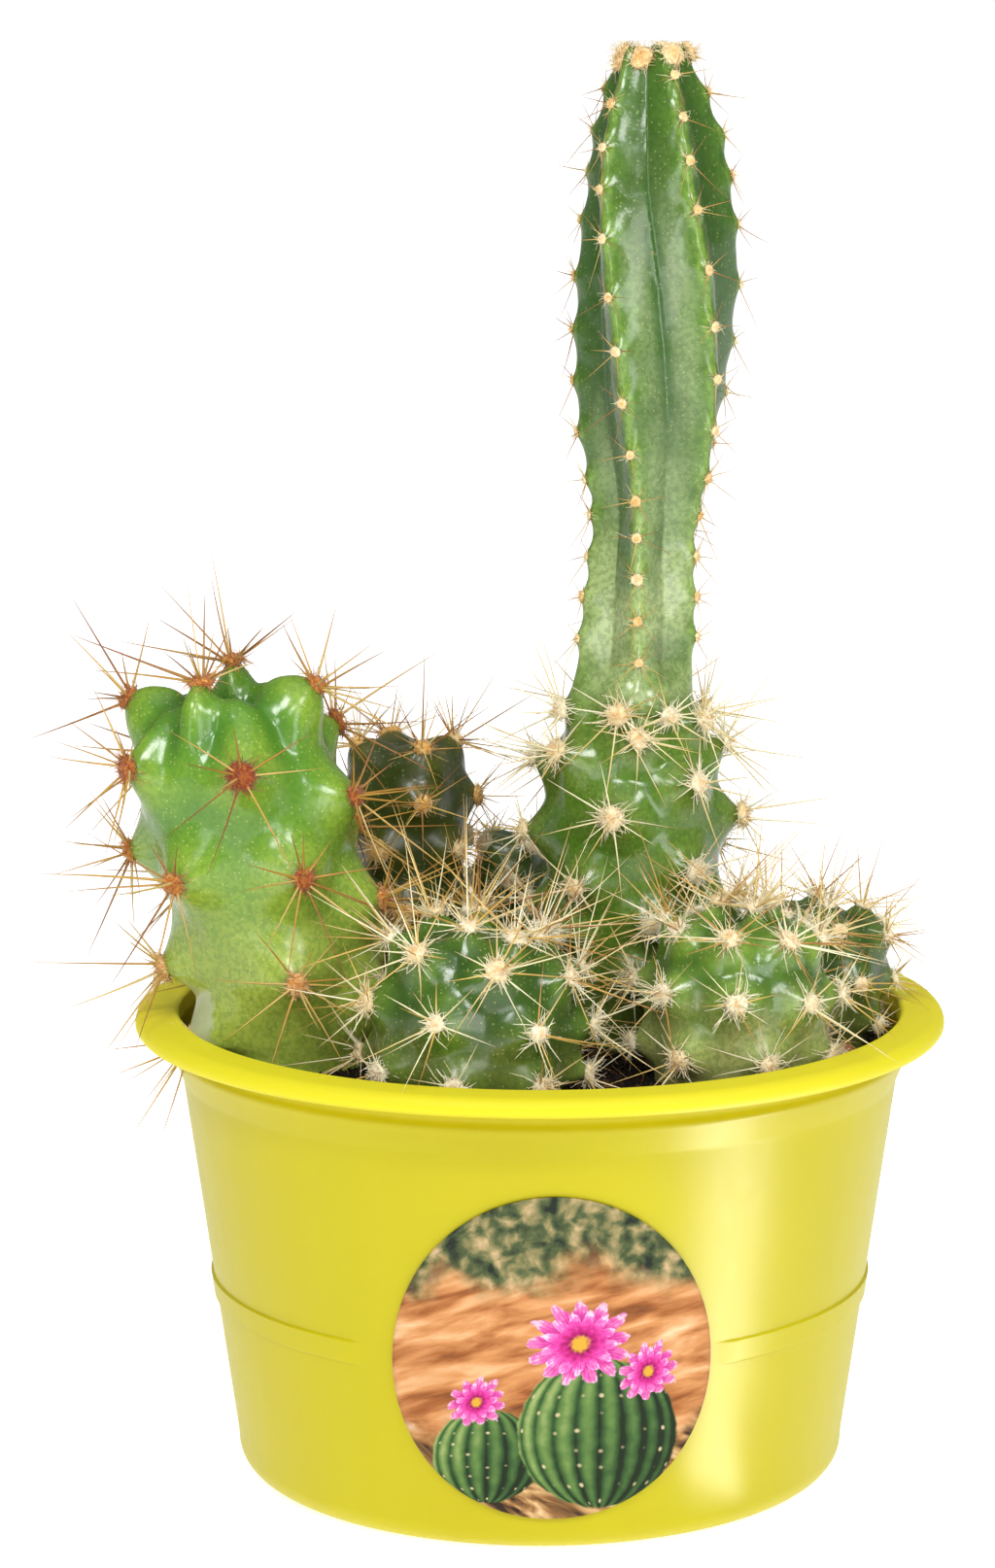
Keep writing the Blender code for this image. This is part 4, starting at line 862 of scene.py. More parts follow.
def potProfile():
    # from the middle of the floor inside, up over the lip and down the outside to the middle of the underside
    wall, mouth, lip, ledge = pot["wall"], pot["mouthRadius"], pot["lipRadius"], pot["ledgeRadius"]
    (top, topHeight), (foot, footHeight), base = pot["wallTop"], pot["wallFoot"], pot["baseRadius"]
    rim, step, rounding, footRound = pot["height"], pot["ledgeHeight"], pot["lipRound"], foot - base
    middle = (lip - rounding, rim - rounding - 0.1)
    under = middle[1] - pot["lipDroop"]
    inside = [(base - 0.4, wall), (foot - wall, footHeight), (top - wall, topHeight - 0.3), (mouth - 0.5, step - 0.8),
              (mouth - 0.3, step + 1.8), (mouth, rim - 0.4), (mouth + 0.5, rim), (lip - 2.6, rim - 0.1)]
    edge = arc(middle, rounding, 78.0, -12.0, 12)
    outside = [(lip - 0.5, under), (lip - 1.5, under + 0.8), (lip - 2.6, under + 1.5), (ledge + 0.9, under + 1.4),
               (ledge - 0.3, under + 0.3), (ledge - 0.45, step + 0.9), (ledge, step), (ledge - 0.4, step - 0.9),
               (top, topHeight)]
    low, high = pot["Band low"] / mm, pot["Band high"] / mm
    levels = [*np.linspace(topHeight - 1.0, high + 0.6, 12), *np.linspace(high + 0.1, high - 0.5, 6),
              *np.linspace(low + 0.5, low - 0.1, 6), *np.linspace(low - 0.6, footHeight + 0.6, 8)]
    rows = filleted([(0.0, wall), *inside, edge[0]], 0.9) + edge[1:-1]
    rows += filleted([edge[-1], *outside, (wallRadius(topHeight - 1.0), topHeight - 1.0)], 0.5)
    rows += [(wallRadius(level), level) for level in levels[1:]]
    rows += arc((base, footRound + pot["footRise"]), footRound, -4.0, -80.0, 10) + [(base - 0.6, 0.0), (0.0, 0.0)]
    return rows


def turnedPotTree():
    tree, given = newTree("turnedPot", {**{name: size for name, size in pot.items() if name[0].isupper()},
                                        "Plastic": None})
    rows = tree.add("GeometryNodeAttributeDomainSize", {0: given["Geometry"]}, component="MESH")
    grid = tree.add("GeometryNodeMeshGrid", {"Size X": 1.0, "Size Y": 1.0, "Vertices X": rows,
                                             "Vertices Y": given["Sides"] + 1.0})
    position = tree.add("GeometryNodeInputPosition")
    x, y, z = tree.parts(position)
    row = tree.maths("ROUND", (x + 0.5) * (rows - 1.0))
    turn = y * math.tau  # 0 faces +X here, half a turn away from the seam
    spot = tree.add("GeometryNodeSampleIndex", {0: given["Geometry"], "Value": position, "Index": row},
                    data_type="FLOAT_VECTOR")
    radius, height = tree.parts(spot)[::2]
    # the raised band: up at its two edges, on the outer wall only, and left open in front for the sticker
    soft = 0.25 * mm
    rise = tree.between(height, given["Band low"], given["Band low"] + soft)
    drop = tree.between(height, given["Band high"], given["Band high"] - soft)
    outer = tree.maths("GREATER_THAN", row, rows * 0.5)
    fromFront = tree.maths("ABSOLUTE", tree.maths("WRAP", turn + math.pi / 2, math.pi, -math.pi))
    half = given["Band opening"] * math.radians(0.5)
    opened = tree.between(fromFront, half, half + 0.02)
    radius = radius + rise * drop * (outer * opened) * given["Band proud"]
    place = tree.joined(radius * tree.maths("COSINE", turn), radius * tree.maths("SINE", turn), height)
    shell = tree.add("GeometryNodeMergeByDistance", {0: tree.moved(grid, Position=place), "Distance": 0.004 * mm})
    # drain holes, cut by a ring of pegs
    ring = tree.add("GeometryNodeMeshCircle", {"Vertices": given["Drain holes"], "Radius": given["Drain circle"]})
    ring = tree.add("GeometryNodeTransform", {0: ring, "Rotation": (0.0, 0.0, math.pi / 6)})
    peg = tree.add("GeometryNodeMeshCylinder", {"Vertices": 32, "Radius": given["Drain radius"], "Depth": 8.0 * mm})
    cut = tree.add("GeometryNodeMeshBoolean", {0: shell, 1: tree.copies(ring, peg)}, operation="DIFFERENCE",
                   solver="EXACT")
    return tree.finish(tree.add("GeometryNodeSetShadeSmooth", {0: cut}), given["Plastic"])


def glossyPolypropylene():
    # injection-moulded polypropylene: an even strong yellow body, a soft shine and a faint waviness in the mirror;
    # the lip is painted a brighter yellow, as painted light from above
    paint = Paint("glossyPolypropylene")
    spot = paint.spot
    # painted light: the lip, the top of the pot, is painted brighter as if lit from above
    lip = paint.between(paint.parts(spot)[2], 0.0668, 0.0680)
    flow = paint.noise(paint.mapping(spot, (26.0, 26.0, 9.0)), 1.0, 3.0)
    body = paint.ramp(flow, (0.30, "#d0c30a"), (0.52, "#d4c80c"), (0.75, "#d9cd10"))
    rough = paint.line(paint.noise(spot, 420.0, 4.0, 0.6), 0.3, 0.75, 0.31, 0.38)
    return paint.dress(
        BaseColor=paint.blend(lip, body, "#f6ea25"), Roughness=rough + lip * 0.20, IOR=1.49, SpecularIORLevel=0.32,
        Normal=paint.bump(paint.noise(spot, 55.0), 0.12, 0.25),
        SubsurfaceWeight=0.12, SubsurfaceRadius=(1.0, 0.8, 0.15), SubsurfaceScale=0.002)


def makePot():
    rows = potProfile()
    mesh = bpy.data.meshes.new("turnedPot")
    mesh.from_pydata([(radius * mm, 0.0, height * mm) for radius, height in rows],
                     [(place, place + 1) for place in range(len(rows) - 1)], [])
    piece = linkObject("yellowPot", mesh)
    grow(piece, turnedPotTree(), {**pot, "Plastic": glossyPolypropylene()})
    # faces outwards, with sharp creases kept sharp
    bm = bmesh.new()
    bm.from_mesh(piece.data)
    bmesh.ops.recalc_face_normals(bm, faces=bm.faces)
    bm.to_mesh(piece.data)
    bm.free()
    piece.data.set_sharp_from_angle(angle=math.radians(50))
    handOver(piece, "pot_plastic", "pot")
    print("pot turned:", len(piece.data.polygons), "faces")
    return piece


# sticker: a thin printed film on the front of the wall; hang is how much lower its sides lie on the curved wall,
# since it looks round from the front and a little above
sticker = {"halfWidth": 23.2, "halfHeight": 24.6, "height": 30.0, "turn": 2.2, "hang": 0.26, "lift": 0.05,
           "film": 0.45, "rings": 30, "sides": 128}


def sag(height, aside):
    return sticker["hang"] * wallRadius(height) * (1.0 - math.cos(aside))


def makeSticker():
    bm = bmesh.new()
    rings, sides = sticker["rings"], sticker["sides"]
    slope = math.atan2(pot["wallTop"][0] - pot["wallFoot"][0], pot["wallTop"][1] - pot["wallFoot"][1])
    middle = math.radians(sticker["turn"])

    def vertAt(share, turn, layer):
        across, up = share * math.cos(turn), share * math.sin(turn)
        height = sticker["height"] + up * sticker["halfHeight"] * math.cos(slope)
        aside = across * sticker["halfWidth"] / wallRadius(height)
        height -= sag(height, aside)
        radius, a = wallRadius(height) + sticker["lift"] + layer * sticker["film"], middle + aside
        return bm.verts.new((radius * mm * math.sin(a), -radius * mm * math.cos(a), height * mm))

    # front rings, a rounded edge and three rings of the back; layer 1 is the printed face
    spots = [(ring / rings, 1.0) for ring in range(1, rings)]
    spots += [(0.997, 1.0), (1.0, 0.75), (1.0, 0.0), (0.66, 0.0), (0.33, 0.0)]
    loops = [[vertAt(share, math.tau * side / sides, layer) for side in range(sides)] for share, layer in spots]
    front, back = vertAt(0.0, 0.0, 1.0), vertAt(0.0, 0.0, 0.0)
    for low, high in zip(loops, loops[1:]):
        bridge(bm, low, high)
    for side in range(sides):
        after = (side + 1) % sides
        bm.faces.new((front, loops[0][side], loops[0][after]))
        bm.faces.new((back, loops[-1][after], loops[-1][side]))
    bmesh.ops.recalc_face_normals(bm, faces=bm.faces)
    sheet = bm.loops.layers.uv.new("print")
    for face in bm.faces:
        face.smooth = True
        for loop in face.loops:
            x, y, z = loop.vert.co / mm
            aside = math.atan2(x, -y) - middle
            across = aside * wallRadius(z) / sticker["halfWidth"]
            up = (z + sag(z, aside) - sticker["height"]) / (sticker["halfHeight"] * math.cos(slope))
            loop[sheet].uv = (0.5 + 0.5 * across, 0.5 + 0.5 * up)
    piece = linkObject("roundSticker", meshFrom(bm, "roundSticker"))
    piece.data.materials.append(printedVinyl())
    handOver(piece, "sticker_print", "sticker")
    print("sticker printed")


def printedVinyl():
    # vinyl film with a gloss laminate: a made-up print of desert slopes, two barrel cacti and pink blooms
    paint = Paint("printedVinyl")
    sheet = paint.add("ShaderNodeUVMap", uv_map="print")

    def near(centre, size, turn=0.0):
        # the sheet's coordinates seen from the middle of a motif, 1 at its edge
        return paint.mapping(sheet, (*size, 1.0), (*centre, 0.0), (0.0, 0.0, math.radians(turn)), "TEXTURE")

    def noiseOf(spot, scale, detail=4.0, stretch=(1.0, 1.0, 1.0), warp=0.0):
        return paint.noise(paint.mapping(spot, stretch), scale, detail, warp=warp)

    def uneven(spot, scale, detail, size):
        return (noiseOf(spot, scale, detail) - 0.5) * size

    def within(value, edge, soft):
        return paint.between(value, edge, edge - soft)

    up = paint.parts(sheet)[1]
    # slopes of sandstone in slanting beds, dry brush at the foot and dusky scrub along the top
    stone = paint.ramp(noiseOf(near((0.5, 0.5), (1.0, 1.0), 14.0), 6.5, 9.0, (0.6, 2.6, 1.0), 0.35),
                       (0.26, "#4f2a15"), (0.40, "#9a5a2c"), (0.53, "#c98a54"), (0.66, "#e0b384"), (0.78, "#efd3ac"))
    brush = paint.ramp(noiseOf(near((0.5, 0.5), (1.0, 1.0), 62.0), 16.0, 8.0, (1.0, 0.22, 1.0), 1.2),
                       (0.36, "#2c1d12"), (0.47, "#8b6238"), (0.57, "#c8a06c"), (0.68, "#f0dcb4"))
    scrub = paint.ramp(noiseOf(sheet, 17.0, 9.0, warp=0.3),
                       (0.34, "#1b241c"), (0.47, "#4b5734"), (0.58, "#8c8156"), (0.70, "#c2a67c"))
    wavy = up + uneven(sheet, 4.0, 4.0, 0.42)
    picture = paint.blend(within(wavy, 0.34, 0.10), stone, brush)
    picture = paint.blend(within(1.0 - wavy, 0.32, 0.12), picture, scrub)

    # a barrel cactus at the lower right and a smaller one beside it, both with ribs and pale spine dots
    for centre, size, ribs in (((0.30, 0.20), (0.17, 0.15), 9.0), ((0.64, 0.27), (0.25, 0.24), 11.0)):
        spot = near(centre, size)
        x, y, z = paint.parts(spot)
        across = x / paint.maths("SQRT", paint.maths("MAXIMUM", 1.02 - y * y, 0.02))
        lean = paint.maths("ARCSINE", across * 0.98)
        rib = paint.maths("ABSOLUTE", paint.maths("SINE", lean * ribs))
        light = rib * 0.62 - x * 0.30 + y * 0.16 + uneven(sheet, 26.0, 5.0, 0.5)
        flesh = paint.ramp(light, (0.05, "#14240f"), (0.38, "#34562a"), (0.70, "#5f7f40"), (1.0, "#9aa868"))
        dots = paint.add("ShaderNodeTexVoronoi", {0: paint.joined(lean * (ribs / math.pi), y * 4.2), "Scale": 1.0,
                                                  "Randomness": 0.25}, "Distance")
        flesh = paint.blend(within(dots, 0.17, 0.12) * 0.8, flesh, "#d8c59a")
        picture = paint.blend(within(paint.length(spot) + uneven(sheet, 22.0, 4.0, 0.10), 1.0, 0.04), picture, flesh)

    # open blooms seen from above: an outer and an inner ring of uneven pointed petals round a yellow middle
    for centre, size, petals, turn in (((0.58, 0.55), 0.165, 13.0, 8.0), ((0.79, 0.46), 0.105, 11.0, 40.0),
                                       ((0.27, 0.37), 0.095, 11.0, 20.0)):
        for share, shift, shade in ((1.0, 0.0, 0.80), (0.74, 0.5, 1.0)):
            spot = near(centre, (size * share, size * share * 0.82), turn + 360.0 * shift / petals)
            x, y, z = paint.parts(spot)
            around = paint.maths("ARCTAN2", y, x)
            petal = paint.maths("ABSOLUTE", paint.maths("COSINE", around * (petals / 2.0)))
            edge = 0.62 + petal ** 0.75 * 0.38 + uneven(spot, 2.6, 3.0, 0.55)
            far = paint.length(spot) / edge
            vein = paint.maths("SINE", around * (petals * 5.0)) * 0.05
            streak = vein + uneven(spot, 6.0, 6.0, 0.7)
            tint = paint.ramp(far + streak + (petal - 0.75) * 0.30, (0.10, "#5e0a2c"), (0.40, "#b3156f"),
                              (0.72, "#d943a2"), (0.95, "#ea84c2"), (1.15, "#f6c3de"))
            picture = paint.blend(within(far, 1.0, 0.06), picture, paint.blend(1.0 - shade, tint, "#5e0a3c"))
        heart = paint.length(spot) + uneven(spot, 9.0, 4.0, 0.25)
        picture = paint.blend(within(heart, 0.30, 0.16), picture, "#d9a032")
    return paint.dress(BaseColor=picture, Roughness=0.40, SpecularIORLevel=0.22,
                       Normal=paint.bump(paint.noise(paint.spot, 900.0), 0.06, 0.05))


# potting soil: lumpy fill, crumbs and roots, and two chips of bark
soil = {
    "edge": 52.3, "bedHeights": (60.4, 59.0, 5.4), "floor": 1.65, "rings": 70, "sides": 200,
    "lump": 0.9, "lumpSize": 9.0, "sag": 0.4,
    "Crumbs": 0.9e6, "Crumb size": 1.0 * mm, "Crumb seed": 4,
    "roots": 150, "rootSeed": 8, "rootReach": (3.0, 9.0), "rootThick": (0.09, 0.2), "rootLift": (0.55, 0.60),
    "rootsWithin": (50.0, 51.0), "rootGap": 0.6,
}


def soilHeight(x, y):
    # the height of the surface, and how far the nearest plant is
    near = min(math.dist((x, y), cactus.foot) - cactus.footRadius for cactus in cacti)
    lump = soil["lump"] * noise.noise(Vector((x, y, soilLine)) / soil["lumpSize"])
    fine = 0.35 * noise.noise(Vector((x, y, 7.0)) / 2.6) + 0.18 * noise.noise(Vector((x, y, 3.0)) / 0.9)
    return soilLine + lump * float(smoothStep(near / 6.0)) - soil["sag"] + fine, near


def crumbTree():
    tree, given = newTree("soilCrumbs", {**{name: size for name, size in soil.items() if name[0].isupper()},
                                         "Earth": None})
    seed = given["Crumb seed"]
    spread = tree.scattered(given["Geometry"], given["Crumbs"] * tree.read("open"), seed)
    grain = tree.add("GeometryNodeMeshIcoSphere", {"Radius": 0.5, "Subdivisions": 1})
    size = (tree.random(0.0, 1.0, seed + 1) ** 3.0 * 1.9 + 0.45) * given["Crumb size"]
    shape = tree.random((0.55, 0.55, 0.4), (1.5, 1.1, 0.9), 12)
    turn = tree.random((0.0, 0.0, 0.0), (6.28, 6.28, 6.28), 13)
    points = tree.store(spread, "tone", tree.random(0.0, 1.0, 14))
    crumbs = tree.copies(points, grain, turn, tree.vector("SCALE", shape, scale=size))
    dent = tree.vector("SUBTRACT", tree.noise(None, 1500.0, 1.0, out="Color"), (0.5, 0.5, 0.5))
    return tree.finish(tree.moved(crumbs, Offset=tree.vector("SCALE", dent, scale=0.55 * mm)), given["Earth"])


def rootTree():
    tree, given = newTree("fineRoots", {"Rings": 7, "Sides": 4, "Root bark": None})
    roots = strandsOn(tree, given["Geometry"], given["Rings"], given["Sides"], 0.5)
    return tree.finish(roots, given["Root bark"])


def pottingEarth(name, dark, mid, light):
    # peat and bark fines, damp: near black with brown crumbs, dull with a few wet glints
    paint = Paint(name)
    spot = paint.spot
    crumb = paint.noise(spot, 1100.0, 5.0, 0.7)
    value = crumb * 0.45 + paint.field("tone") * 0.40 + (paint.noise(spot, 95.0, 3.0) - 0.4) * 0.5
    return paint.dress(BaseColor=paint.ramp(value, (0.22, dark), (0.50, mid), (0.86, light)),
                       Roughness=paint.line(crumb, 0.3, 0.7, 0.62, 0.95), SpecularIORLevel=0.3,
                       Normal=paint.bump(crumb, 0.7, 0.35))


def makeSoil():
    earth = pottingEarth("dampPeat", "#0b0705", "#2a1a10", "#5d4128")
    rings, sides, edge = soil["rings"], soil["sides"], soil["edge"]
    bm = bmesh.new()
    verts, opened = [], []
    for ring in range(1, rings + 1):
        radius = edge * ring / rings
        for side in range(sides):
            a = math.tau * side / sides
            x, y = radius * math.cos(a), radius * math.sin(a)
            height, near = soilHeight(x, y)
            verts.append(bm.verts.new((x * mm, y * mm, height * mm)))
            opened.append(float(smoothStep((near + 0.4) / 0.8)))
    middle = bm.verts.new((0.0, 0.0, soilHeight(0.0, 0.0)[0] * mm))
    for side in range(sides):
        after = (side + 1) % sides
        bm.faces.new((middle, verts[side], verts[after]))
        for low in range(0, (rings - 1) * sides, sides):
            high = low + sides
            bm.faces.new((verts[low + side], verts[high + side], verts[high + after], verts[low + after]))
    top = meshFrom(bm, "soilTop")
    storeOn(top, "open", opened + [1.0])
    crumbs = linkObject("soilCrumbs", top.copy())
    grow(crumbs, crumbTree(), {**soil, "Earth": earth})
    handOver(crumbs, "potting_soil", "soil")

    # the fill under the crumbs goes down to the floor of the pot
    bm = bmesh.new()
    bm.from_mesh(top)
    bm.verts.ensure_lookup_table()
    loop = [bm.verts[(rings - 1) * sides + side] for side in range(sides)]
    inset = pot["wall"] + fitGap
    under, shoulder, heel = soil["bedHeights"]
    for radius, height in ((edge, under), (wallRadius(shoulder) - inset, shoulder),
                           (wallRadius(heel) - inset, heel), (pot["baseRadius"] - 1.0, soil["floor"])):
        turns = [math.tau * side / sides for side in range(sides)]
        below = [bm.verts.new((radius * mm * math.cos(a), radius * mm * math.sin(a), height * mm)) for a in turns]
        bridge(bm, loop, below)
        loop = below
    bm.faces.new(loop[::-1])
    bmesh.ops.recalc_face_normals(bm, faces=bm.faces)
    bed = linkObject("soilBed", meshFrom(bm, "soilBed"))
    bed.data.materials.append(earth)
    handOver(bed, "potting_soil", "soil")

    # fine dead roots and dropped spines that lie on the crumbs
    chance = random.Random(soil["rootSeed"])
    startsWithin, endsWithin = soil["rootsWithin"]
    facts = {name: [] for name in ("root", "reach", "sag", "thick", "tone")}
    while len(facts["root"]) < soil["roots"]:
        a, radius = chance.uniform(0.0, math.tau), startsWithin * math.sqrt(chance.random())
        x, y = radius * math.cos(a), radius * math.sin(a)
        turn, length = chance.uniform(0.0, math.tau), chance.uniform(*soil["rootReach"])
        far = (x + length * math.cos(turn), y + length * math.sin(turn))
        (height, near), (farHeight, farNear) = soilHeight(x, y), soilHeight(*far)
        if min(near, farNear) < soil["rootGap"] or math.hypot(*far) > endsWithin:
            continue
        start = Vector((x, y, height + soil["rootLift"][0]))
        end = Vector((*far, farHeight + soil["rootLift"][1]))
        bend = Vector((-math.sin(turn), math.cos(turn), 0.0)) * length * chance.uniform(-0.25, 0.25)
        facts["root"].append(start * mm)
        facts["reach"].append((end - start - bend) * mm)
        facts["sag"].append(bend * mm)
        facts["thick"].append(chance.uniform(*soil["rootThick"]) * mm)
        facts["tone"].append(chance.random())
    fibres = pointCloud("fineRoots", facts["root"], facts)
    grow(fibres, rootTree(), {"Root bark": pottingEarth("dryRoot", "#3a2415", "#7d5a38", "#c0a074")})
    handOver(fibres, "potting_soil", "soil")
    print("soil filled:", len(crumbs.data.polygons), "crumb faces")


bark = {
    "bark_dark": {"size": (5.6, 3.6, 2.0), "turn": (8.0, 12.0, 70.0), "slot": "bark_dark", "seed": 3.0,
                  "colours": ("#160503", "#47140d", "#7c2f1e")},
    "bark_tan": {"size": (6.2, 3.2, 1.8), "turn": (-6.0, -10.0, 112.0), "slot": "bark_tan", "seed": 9.0,
                 "colours": ("#5e3118", "#b3744a", "#dcaa7e")},
}


def splitBark(name, colours):
    # pine bark, snapped: long fibres in layers, matt, darker in the splits
    paint = Paint(name)
    lines = paint.noise(paint.mapping(paint.field("fibre", "Vector"), (260.0, 2400.0, 2600.0)), 1.0, 5.0, 0.65)
    value = lines * 0.75 + paint.noise(paint.spot, 1300.0, 3.0) * 0.25
    return paint.dress(BaseColor=paint.ramp(value, *zip((0.34, 0.52, 0.68), colours)), Roughness=0.72,
                       Normal=paint.bump(value, 0.8, 0.3))


def makeBark():
    for node, facts in bark.items():
        low, high = (Vector(corner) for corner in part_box(node))
        bm = bmesh.new()
        bmesh.ops.create_cube(bm, size=1.0)
        bmesh.ops.subdivide_edges(bm, edges=bm.edges, cuts=15, use_grid_fill=True)
        fibres = []
        turn = Euler([math.radians(a) for a in facts["turn"]]).to_matrix()
        for vert in bm.verts:
            x, y, z = vert.co
            # a chip thins towards its torn ends, and its faces are split in layers
            edge = 1.0 - 0.35 * abs(2 * x) ** 3 - 0.12 * abs(2 * y) ** 4
            body = Vector((x * (1.0 - 0.10 * abs(2 * y) ** 2), y * edge, z * edge))
            size = Vector(facts["size"])
            place = Vector((body.x * size.x, body.y * size.y, body.z * size.z))
            layer = noise.noise(Vector((place.x * 0.35, place.y * 1.6, place.z * 1.6 + facts["seed"])))
            tear = noise.noise(Vector((facts["seed"], place.y * 2.4, place.z * 2.4)))
            place += Vector((0.45 * tear * (2 * x), 0.0, 0.0)) + Vector((0.0, body.y, body.z)) * (0.42 * layer)
            fibres.append(tuple(place * mm))
            vert.co = turn @ (place * 0.96 * mm)
        # the chip stands in the middle of its solid's box and on the box's floor
        reach = [(min(v.co[axis] for v in bm.verts), max(v.co[axis] for v in bm.verts)) for axis in range(3)]
        middle = Vector([(low[axis] + high[axis]) / 2 - (reach[axis][0] + reach[axis][1]) / 2 for axis in range(3)])
        middle.z = low.z - reach[2][0]
        for vert in bm.verts:
            vert.co += middle
        bmesh.ops.recalc_face_normals(bm, faces=bm.faces)
        for face in bm.faces:
            face.smooth = True
        piece = linkObject("barkChip_" + node[5:], meshFrom(bm, "barkChip"))
        storeOn(piece.data, "fibre", fibres)
        piece.data.materials.append(splitBark("splitBark_" + node[5:], facts["colours"]))
        handOver(piece, facts["slot"], node)
    print("bark laid")


# where the tall plant's skin changes: spans of the height above the soil in millimetres, of the relief, which is
# negative in the furrows, and of how far the skin faces the front, which places the painted sheen and shade
tallSkin = {
    "stemFrom": (49.0, 54.0), "stemTo": (92.0, 62.0), "stemPatches": (0.25, 0.60),
    "shootFrom": (50.0, 56.0), "crest": (-1.35, -0.17), "rib": (-0.13, 0.02), "ribFrom": (52.0, 60.0),
    "slopeFrom": (-0.98, -0.66), "slopeTo": (-0.08, -0.42), "bloomFrom": (52.0, 60.0), "bloomTo": (138.0, 112.0),
    "bloomPatches": (0.30, 0.60), "sunnySide": (0.68, 0.86), "shadySide": (0.80, 0.52), "shadeFrom": (62.0, 74.0),
    "furrow": (-0.66, -0.88), "furrowFrom": (60.0, 70.0), "tipFrom": (118.0, 146.0),
}
# deep is the dark green of the painted shade on the shoot
skinMarks = {"deep": "#2f5a17", "rib": "#a6c65c", "pore": "#d9e08f", "scar": "#6d6a34", "cork": "#b7bd9c"}


def waxySkin(name, colours):
    # cactus skin: a thin wax over juicy flesh, finely pitted and shiny; its green follows the relief as painted
    # shade and painted light, darker in the folds and paler on the swellings
    paint = Paint(name)
    spot, between = paint.spot, paint.between

    def noiseOf(size, detail=3.0, rough=0.5):
        # size is a lump's width in millimetres
        return paint.noise(spot, 1.0 / (size * mm), detail, rough)

    def cellsOf(size, channel):
        # how far the middle of a cell is, and a number that each cell draws
        far, colour = paint.add("ShaderNodeTexVoronoi", {0: spot, "Scale": 1.0 / (size * mm)}, ("Distance", "Color"))
        return far, paint.add("ShaderNodeSeparateColor", {0: colour}, channel)

    relief, climb, nearAreole = [paint.field(label) for label in ("relief", "climb", "nearAreole")]
    mottle = noiseOf(6.0, 4.0, 0.55) - 0.5
    # painted shade and painted light: the colour runs from dark in the folds to pale on the swellings, by the relief
    flesh = paint.ramp(between(relief + mottle * 0.9, *colours["reach"]), (0.0, colours["fold"]),
                       (0.45, colours["flank"]), (1.0, colours["swell"]))
    # the foot of the plant is paler and yellower, or greyer on an old stem; on the left plant this pale is also
    # painted light, bright enough to offset the shade that falls near the soil
    low = between(climb + mottle * 16.0, colours["paleBelow"], colours["paleBelow"] * 0.25)
    flesh = paint.blend(low * colours["paleShare"], flesh, colours["pale"])
    if "stem" in colours:
        def within(value, *names):
            share = between(value, *tallSkin[names[0]])
            for name in names[1:]:
                share = share * between(value, *tallSkin[name])
            return share

        stem = within(climb, "stemFrom", "stemTo") * within(noiseOf(9.0, 3.0), "stemPatches")
        flesh = paint.blend(stem * 0.85, flesh, colours["stem"])
        shoot = within(climb, "shootFrom") * within(relief, "crest")
        flesh = paint.blend(shoot * 0.14, flesh, colours["crest"])
        # painted sheen: a pale grey-green painted on both slopes of each furrow, only where the skin faces the front;
        # the sides that face away are painted a deeper green as painted shade
        sunny = paint.field("sunny")
        slope = within(relief, "slopeFrom", "slopeTo") * within(climb, "bloomFrom") * within(climb, "bloomTo")
        slope = slope * within(noiseOf(14.0, 2.0), "bloomPatches") * within(sunny, "sunnySide")
        # painted sheen: pale grey-green laid over the front-facing slopes
        flesh = paint.blend(slope * 0.26, flesh, colours["bloom"])
        # painted shade: the sides that face away from the front, the furrows and the tip are painted a deeper green
        shaded = within(sunny, "shadySide") * within(climb, "shadeFrom") * 0.74
        furrow = within(relief, "furrow") * within(climb, "furrowFrom") * 0.72
        deep = paint.maths("MAXIMUM", shaded, furrow)
        deep = paint.maths("MAXIMUM", deep, within(climb, "tipFrom") * 0.40)
        flesh = paint.blend(deep, flesh, skinMarks["deep"])
        # a yellower line along the ribs
        flesh = paint.blend(within(relief, "rib") * within(climb, "ribFrom") * 0.22, flesh, skinMarks["rib"])
    flesh = paint.blend(between(nearAreole, 0.15, 0.8) * 0.45, flesh, colours["fold"])
    # fine grain of the green cells under the wax
    flesh = paint.blend(between(noiseOf(0.75, 4.0, 0.62), 0.44, 0.58) * 0.34, flesh, colours["fold"])
    # breathing pores: pale specks a quarter of a millimetre wide, about one to a square millimetre
    far, drawn = cellsOf(0.62, 0)
    speck = between(far, 0.32, 0.14) * between(drawn, 0.50, 0.62)
    flesh = paint.blend(speck * colours["specks"], flesh, skinMarks["pore"])
    # small scars and dried drops
    far, drawn = cellsOf(4.6, 1)
    flesh = paint.blend(between(far, 0.085, 0.05) * between(drawn, 0.6, 0.7) * 0.7, flesh, skinMarks["scar"])
    if "cork" in colours:
        # a grey corky graze low on the outer side
        centre, size = [[c * mm for c in values] for values in colours["cork"]]
        far = paint.length(paint.mapping(spot, size, centre, kind="TEXTURE"))
        patch = between(far + (noiseOf(2.4, 5.0, 0.65) - 0.5) * 1.1, 1.0, 0.72)
        flesh = paint.blend(patch * 0.8, flesh, skinMarks["cork"])
    rough = paint.line(noiseOf(3.0, 4.0, 0.6), 0.3, 0.7, *colours["gloss"]) + low * 0.10
    fine = paint.bump(noiseOf(0.45, 3.0) * 0.5 + speck * -0.35, 0.22, 0.10)
    return paint.dress(
        BaseColor=flesh, Roughness=rough, IOR=1.45, SpecularIORLevel=0.62, CoatWeight=0.16, CoatRoughness=0.12,
        SubsurfaceWeight=0.08, SubsurfaceRadius=(0.5, 1.0, 0.25), SubsurfaceScale=0.0018,
        Normal=paint.bump(noiseOf(1.7, 2.0), 0.30, 0.16, fine))


